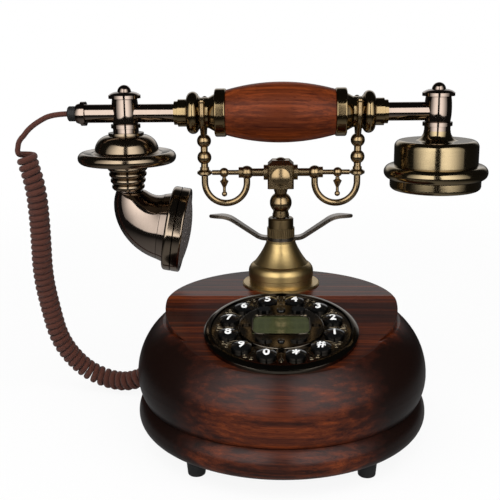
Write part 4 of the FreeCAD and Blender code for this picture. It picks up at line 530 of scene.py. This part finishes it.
# Pedestal: a spun cone on a washer, with two flat leaf arms clamped under a knurled nut. All brass,
# antiqued: a brown patina stays in the hollows, in clouds and in faint lines of the lathe.
hollow_edges, hollow_share = (0.25, 0.80), 0.85
cloud_grain, cloud_edges, line_share = 70, (0.38, 0.72), 0.10
seam_edges, seam_depth = (0.10 * mm, 0.32 * mm), 0.006 * mm


def turned_brass(name, bright, patina, roughness, clouds=0.3, lines=(60, 60, 900), reach=2.5 * mm,
                 seam=None):
    """Metal from bright to patina by hollows + clouds + lathe lines, and a fine seam if asked for."""
    metal = Finish(name, Metallic=1.0)
    place = metal.place()
    hollow = 1 - place.node("AmbientOcclusion", {"Distance": reach}, out="AO", samples=16,
                            only_local=True).step(*hollow_edges)
    cloudy = place.stretched(*[cloud_grain] * 3).noise(4.0, 0.6, 0.5).step(*cloud_edges)
    turning = place.stretched(*lines).noise(2.0, 0.6)
    dirt = (hollow * hollow_share + cloudy * clouds + (turning - 0.5) * line_share).most(0.0).least(1.0)
    if seam:
        point, normal = seam
        groove = 1 - place.along(normal, point).size().step(*seam_edges)
        dirt = dirt.most(groove)
        metal.bump(turning / 6 - groove, seam_depth)
    metal.set("Base Color", dirt.tint(bright, patina))
    metal.set("Roughness", dirt * 0.15 + turning * 0.03 + roughness)
    return metal


cone_brass = turned_brass("cone_brass", (0.470, 0.335, 0.145), (0.085, 0.054, 0.022), 0.31, clouds=0.25)
cone_brass.put_on(nodes["pedestal_cone"], nodes["pedestal_washer"])
arm_brass = turned_brass("arm_brass", (0.185, 0.152, 0.120), (0.050, 0.038, 0.030), 0.20,
                         lines=(160, 1500, 1500))
arm_brass.put_on(nodes["leaf_arms"])
nut_brass = turned_brass("nut_brass", (0.165, 0.115, 0.055), (0.030, 0.020, 0.010), 0.30, clouds=0.5)
nut_brass.put_on(nodes["knurled_nut"], nodes["guide_tube"])


# Cradle: the plunger with its cube, and the rods, hooks, finials, posts and forks that it carries.
# Turned and cast brass, screwed together, with the same patina and a satin lacquer.
cradle_brass = turned_brass("cradle_brass", (0.270, 0.190, 0.100), (0.040, 0.029, 0.015), 0.20,
                            clouds=0.18, lines=(500, 500, 500))
cradle_brass.put_on(*(nodes[n] for n in ("plunger_post", "hub_cube", "cross_rods", "scroll_hooks",
                                         "drop_finials", "cradle_posts", "handset_forks")))


# Handset metal: turned brass with a polished dark bronze plating. On the necks, the bell and the
# earpiece it is rubbed thin, so that these look golden.
bronze_lines = (900, 50, 50)
dark_bronze = turned_brass("dark_bronze", (0.255, 0.200, 0.165), (0.040, 0.030, 0.025), 0.06,
                           clouds=0.10, lines=bronze_lines)
dark_bronze.put_on(*(nodes[n] for n in ("handset_tube", "tube_end_cap", "handset_tees")))
neck_bronze = turned_brass("neck_bronze", (0.240, 0.173, 0.088), (0.030, 0.022, 0.012), 0.10,
                           clouds=0.15, lines=bronze_lines)
neck_bronze.put_on(nodes["grip_necks"])
bell_bronze = turned_brass("bell_bronze", (0.235, 0.180, 0.122), (0.030, 0.022, 0.016), 0.12,
                           clouds=0.12)
bell_bronze.put_on(nodes["mouthpiece_bell"])
ear_bronze = turned_brass("ear_bronze", (0.270, 0.208, 0.118), (0.032, 0.023, 0.013), 0.11, clouds=0.15)
ear_bronze.put_on(nodes["earpiece_shell"], nodes["earpiece_cap"])

# Mouthpiece: a swelling elbow, spun in two halves with a fine seam near its mouth, and a grooved cap
# whose pierced front is left grey and rough from the mould.
mouth_centre, mouth_axis = (-0.0826, 0.0426, 0.1414), (0.986, 0.0, -0.167)
seam_back, grille_front, grille_reach = 5.6 * mm, (11.0 * mm, 11.6 * mm), (26.4 * mm, 26.8 * mm)
seam_point = tuple(Vector(mouth_centre) - Vector(mouth_axis) * seam_back)
elbow_bronze = turned_brass("elbow_bronze", (0.265, 0.210, 0.172), (0.040, 0.030, 0.025), 0.07,
                            clouds=0.10, lines=bronze_lines, seam=(seam_point, mouth_axis))
elbow_bronze.put_on(nodes["mouthpiece_elbow"])
cap_bronze = turned_brass("cap_bronze", (0.255, 0.200, 0.148), (0.038, 0.028, 0.022), 0.08,
                          clouds=0.10, lines=bronze_lines)
spot = cap_bronze.place()
forward = spot.along(mouth_axis, mouth_centre)
from_mouth = spot.node("VectorMath", {0: spot, 1: mouth_centre}, out=1, operation="DISTANCE")
reach_out = (from_mouth ** 2.0 - forward ** 2.0).most(0.0) ** 0.5
grille = forward.step(*grille_front) * (1 - reach_out.step(*grille_reach))
sand = spot.stretched(1500, 1500, 1500).noise(3.0, 0.7)
bronze_colour = Flow(cap_bronze.tree, cap_bronze.shader.inputs["Base Color"].links[0].from_socket)
bronze_rough = Flow(cap_bronze.tree, cap_bronze.shader.inputs["Roughness"].links[0].from_socket)
cap_bronze.set("Base Color", grille.tint(bronze_colour, sand.tint((0.10, 0.085, 0.080),
                                                                  (0.26, 0.235, 0.225))))
cap_bronze.set("Metallic", 1 - grille * 0.6)
cap_bronze.set("Roughness", bronze_rough + grille * 0.38)
cap_bronze.put_on(nodes["mouthpiece_cap"])

# Grip: a turned barrel of lighter red-brown wood between the two necks. It has a finer grain and a
# thinner varnish than the base.
grip_wood = varnished("grip_wood", (0.034, 0.006, 0.002), (0.092, 0.017, 0.004),
                      (0.160, 0.030, 0.006), (0.250, 0.052, 0.011), streak=1.7, coat=0.12, gloss=0.04)
grip_wood.put_on(nodes["wood_grip"])


# Dial: a turned bezel, a pressed plate with ornament in relief, and a display frame, all of dark
# polished metal. Lengths on the slope are u to the right, v up it and w out of it.
slope_sin, slope_cos = 0.19337, 0.98112
dial_centre = np.array((0.0, -0.039860, 0.089470))
u_way, v_way, w_way = np.array(((1.0, 0.0, 0.0), (0.0, slope_cos, slope_sin),
                                (0.0, -slope_sin, slope_cos)))
plate_level, key_ring, key_count = 3.0 * mm, 35.4 * mm, 12
key_step, key_first = math.radians(30.0), math.radians(-15.0)


def on_slope(u, v, w):
    """The point centre + u, v and w along the slope's three ways."""
    u, v, w = np.broadcast_arrays(u, v, w)
    return dial_centre + u[..., None] * u_way + v[..., None] * v_way + w[..., None] * w_way


def bar(line, radius, sides=8):
    """A round bar along a line on the slope: a tube whose rings start straight out of the slope."""
    return tube(line, np.broadcast_to(w_way, line.shape), radius, sides)


def joined(name, parts):
    """One piece from several lots of corners and faces."""
    corners, faces, count = [], [], 0
    for some_corners, some_faces in parts:
        corners.append(some_corners)
        faces += [[i + count for i in face] for face in some_faces]
        count += len(some_corners)
    return piece_from(name, np.vstack(corners), faces)


dial_metal = turned_brass("dial_metal", (0.120, 0.102, 0.080), (0.014, 0.011, 0.008), 0.08,
                          clouds=0.25, lines=(700, 700, 700))
dial_metal.put_on(nodes["dial_bezel"], nodes["dial_plate"], nodes["display_frame"])


def fix_on_dial(piece, metal):
    """Dress a piece that is fixed to the dial in one of its metals."""
    metal.put_on(piece)
    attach(piece, "base")


# Scrolls: in each gap between two keys a pair of stems in relief rises from the well and curls into
# spirals. The lowest gap has a diamond within a diamond, hung on a chain.
scroll_root, scroll_eye, scroll_side, scroll_wide = 31.0 * mm, 41.2 * mm, 2.35 * mm, 1.85 * mm
scroll_thick, scroll_taper, scroll_turns, scroll_shrink = 0.42 * mm, (0.5, 1.0, 0.6), 1.4, 0.72
stem_offset, stem_bow, stem_points, spiral_points, lowest_gap = 0.15 * mm, 0.5 * mm, 13, 44, 9
stem = np.arange(stem_points) / stem_points
winding = np.linspace(0.0, 2 * math.pi * scroll_turns, spiral_points)
spiral_radius = scroll_wide * (1 - scroll_shrink * winding / winding[-1])
outwards = np.concatenate([scroll_root + (scroll_eye - scroll_root) * stem,
                           scroll_eye + spiral_radius * np.sin(winding)])
sideways = np.concatenate([stem_offset + (scroll_side - scroll_wide) * stem
                           + stem_bow * np.sin(math.pi * stem),
                           scroll_side - spiral_radius * np.cos(winding)])
last_point = stem_points + spiral_points - 1
scroll_radius = scroll_thick * np.interp(np.arange(last_point + 1), [0, stem_points - 1, last_point],
                                         scroll_taper)
reliefs = []
for gap in range(key_count):
    if gap == lowest_gap:
        continue
    angle = gap * key_step
    for hand in (-1, 1):
        u = outwards * math.cos(angle) - sideways * hand * math.sin(angle)
        v = outwards * math.sin(angle) + sideways * hand * math.cos(angle)
        reliefs.append(bar(on_slope(u, v, plate_level), scroll_radius))
diamond_v, diamond_wide, diamond_tall, chain_top = -39.4 * mm, 1.7 * mm, 2.3 * mm, -30.4 * mm
diamond_scales, diamond_thick, chain_thick = (1.0, 0.45), scroll_thick * 0.9, scroll_thick * 0.8
round_once = np.linspace(0.0, 2 * math.pi, 41)
for scale in diamond_scales:
    spread = scale / (np.abs(np.cos(round_once)) + np.abs(np.sin(round_once)))
    reliefs.append(bar(on_slope(diamond_wide * spread * np.cos(round_once),
                                diamond_v + diamond_tall * spread * np.sin(round_once), plate_level),
                       diamond_thick))
chain = np.linspace(chain_top, diamond_v + diamond_tall, 12)
reliefs.append(bar(on_slope(0.0, chain, plate_level), chain_thick))
relief_metal = turned_brass("relief_metal", (0.240, 0.195, 0.130), (0.030, 0.023, 0.015), 0.14,
                            clouds=0.25, lines=(900, 900, 900), reach=1.0 * mm)
fix_on_dial(joined("dial_scrolls", reliefs), relief_metal)

# Display: a dark olive glass under a thin trim, with the faint marks of digits that are off, and a
# brass pin in the well at each side of it. The trim's top bar is lighter metal, a painted highlight.
window_half_u, window_half_v, window_v = 18.8 * mm, 12.1 * mm, 1.2 * mm
trim_level, trim_radius, corner_squareness = 4.85 * mm, 0.38 * mm, 6.0
top_bar_half, top_bar_radius = 17.6 * mm, 0.62 * mm
pin_place, pin_radius, pin_foot, pin_top = 22.9 * mm, 1.3 * mm, 2.6 * mm, 3.6 * mm
round_once = np.linspace(0.0, 2 * math.pi, 121)
spread = (np.abs(np.cos(round_once)) ** corner_squareness
          + np.abs(np.sin(round_once)) ** corner_squareness) ** (-1 / corner_squareness)
trim_line = on_slope(window_half_u * spread * np.cos(round_once),
                     window_v + window_half_v * spread * np.sin(round_once), trim_level)
fix_on_dial(piece_from("display_rim", *bar(trim_line, trim_radius)), dial_metal)
# Painted highlight: the trim's top bar is thicker and of the lighter relief metal, for light on its edge.
highlight_top_bar = bar(on_slope(np.linspace(-top_bar_half, top_bar_half, 16), window_v + window_half_v, trim_level),
              top_bar_radius)
pins = [bar(on_slope(side * pin_place, 0.0, np.array((pin_foot, pin_top))), pin_radius, sides=20)
        for side in (-1, 1)]
fix_on_dial(joined("display_trim", [highlight_top_bar, *pins]), relief_metal)

window = Finish("display_window", Coat_Weight=1.0, Coat_Roughness=0.04)
glass = window.place()
up_slope = glass.along(v_way, dial_centre)
cell_width, cell_height, row_edges = 2.6 * mm, 4.6 * mm, (8.2 * mm, 8.6 * mm)
cell_edges, bar_edges = (0.22, 0.30), (0.62, 0.72)
in_cell = (glass.part(0) / cell_width).folded().step(*cell_edges)
between_bars = 1 - (up_slope / cell_height).folded().step(*bar_edges)
in_rows = 1 - (up_slope - window_v).size().step(*row_edges)
marks = in_cell * between_bars * in_rows
stain = glass.stretched(75, 75, 75).noise(2.0)
window.set("Base Color", (marks * 0.16 + (1 - stain) * 0.5).tint((0.060, 0.068, 0.028),
                                                                 (0.016, 0.020, 0.008)))
window.set("Roughness", stain * 0.10 + 0.10)
window.put_on(nodes["display_glass"])


# Keys: moulded gloss black, domed, the twelve round ones with a figure printed in white on the crown.
# They stand through holes in the plate on a rubber mat, and each goes down by itself.
gloss_black = Finish("black_keys")
touch = gloss_black.place().stretched(420, 420, 420).noise(3.0, 0.6)
gloss_black.set("Base Color", touch.tint((0.002, 0.002, 0.002), (0.006, 0.006, 0.006)))
gloss_black.set("Roughness", touch * 0.05 + 0.03)
function_keys = ["oval_key_left", "oval_key_right", "lens_key_left", "lens_key_right", "round_key",
                 "small_round_key"]
key_of_figure = {figure: f"key_{figure}" for figure in "1234567890"} | {"*": "key_star", "#": "key_hash"}
gloss_black.put_on(*(nodes[key] for key in [*key_of_figure.values(), *function_keys]))

ink = Finish("white_ink", Roughness=0.4)
speckle = ink.place().stretched(2500, 2500, 2500).noise(2.0)
ink.set("Base Color", speckle.tint((0.84, 0.84, 0.83), (0.94, 0.94, 0.93)))
key_crown_level, key_crown_radius, ink_lift, ink_thick = 6.6 * mm, 12.28 * mm, 0.14 * mm, 0.10 * mm
figure_height, figure_up, figure_bold, same_corner = 6.6 * mm, -0.5 * mm, 0.03, 1e-5
star_size, upside_down, figure_cuts = 0.85, -1.0, 2

# Each figure is centred, moved up and laid on the round crown, which drops away from its middle by
# radius - root(radius^2 - distance^2). The 9 is the 6 turned upside down.
for place_on_ring, (figure, key) in enumerate(key_of_figure.items()):
    letter = bpy.data.curves.new("figure", "FONT")
    letter.body = "6" if figure == "9" else figure
    letter.offset = figure_bold
    letter_object = bpy.data.objects.new("figure", letter)
    scene.collection.objects.link(letter_object)
    shape = bmesh.new()
    flat = bpy.data.meshes.new_from_object(letter_object)
    shape.from_mesh(flat)
    bpy.data.objects.remove(letter_object)
    bmesh.ops.remove_doubles(shape, verts=shape.verts, dist=same_corner)
    bmesh.ops.triangulate(shape, faces=shape.faces)
    bmesh.ops.subdivide_edges(shape, edges=shape.edges, cuts=figure_cuts, use_grid_fill=True)
    shape.to_mesh(flat)
    shape.free()
    spots = np.empty(len(flat.vertices) * 3)
    flat.vertices.foreach_get("co", spots)
    spots = spots.reshape(-1, 3)[:, :2]
    low, high = spots.min(0), spots.max(0)
    scale = figure_height / (high[1] - low[1]) * {"*": star_size, "9": upside_down}.get(figure, 1.0)
    local = (spots - (low + high) / 2) * scale + (0.0, figure_up)
    drop = key_crown_radius - np.sqrt(key_crown_radius ** 2 - (local ** 2).sum(1))
    angle = key_first + key_step * place_on_ring
    flat.vertices.foreach_set("co", on_slope(
        key_ring * math.cos(angle) + local[:, 0], key_ring * math.sin(angle) + local[:, 1],
        key_crown_level - drop + ink_lift).ravel())
    flat.update()
    print_piece = bpy.data.objects.new(f"figure_{key}", flat)
    scene.collection.objects.link(print_piece)
    skin = print_piece.modifiers.new("ink", "SOLIDIFY")
    skin.thickness, skin.offset = ink_thick, -1.0
    ink.put_on(print_piece)
    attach(print_piece, key)
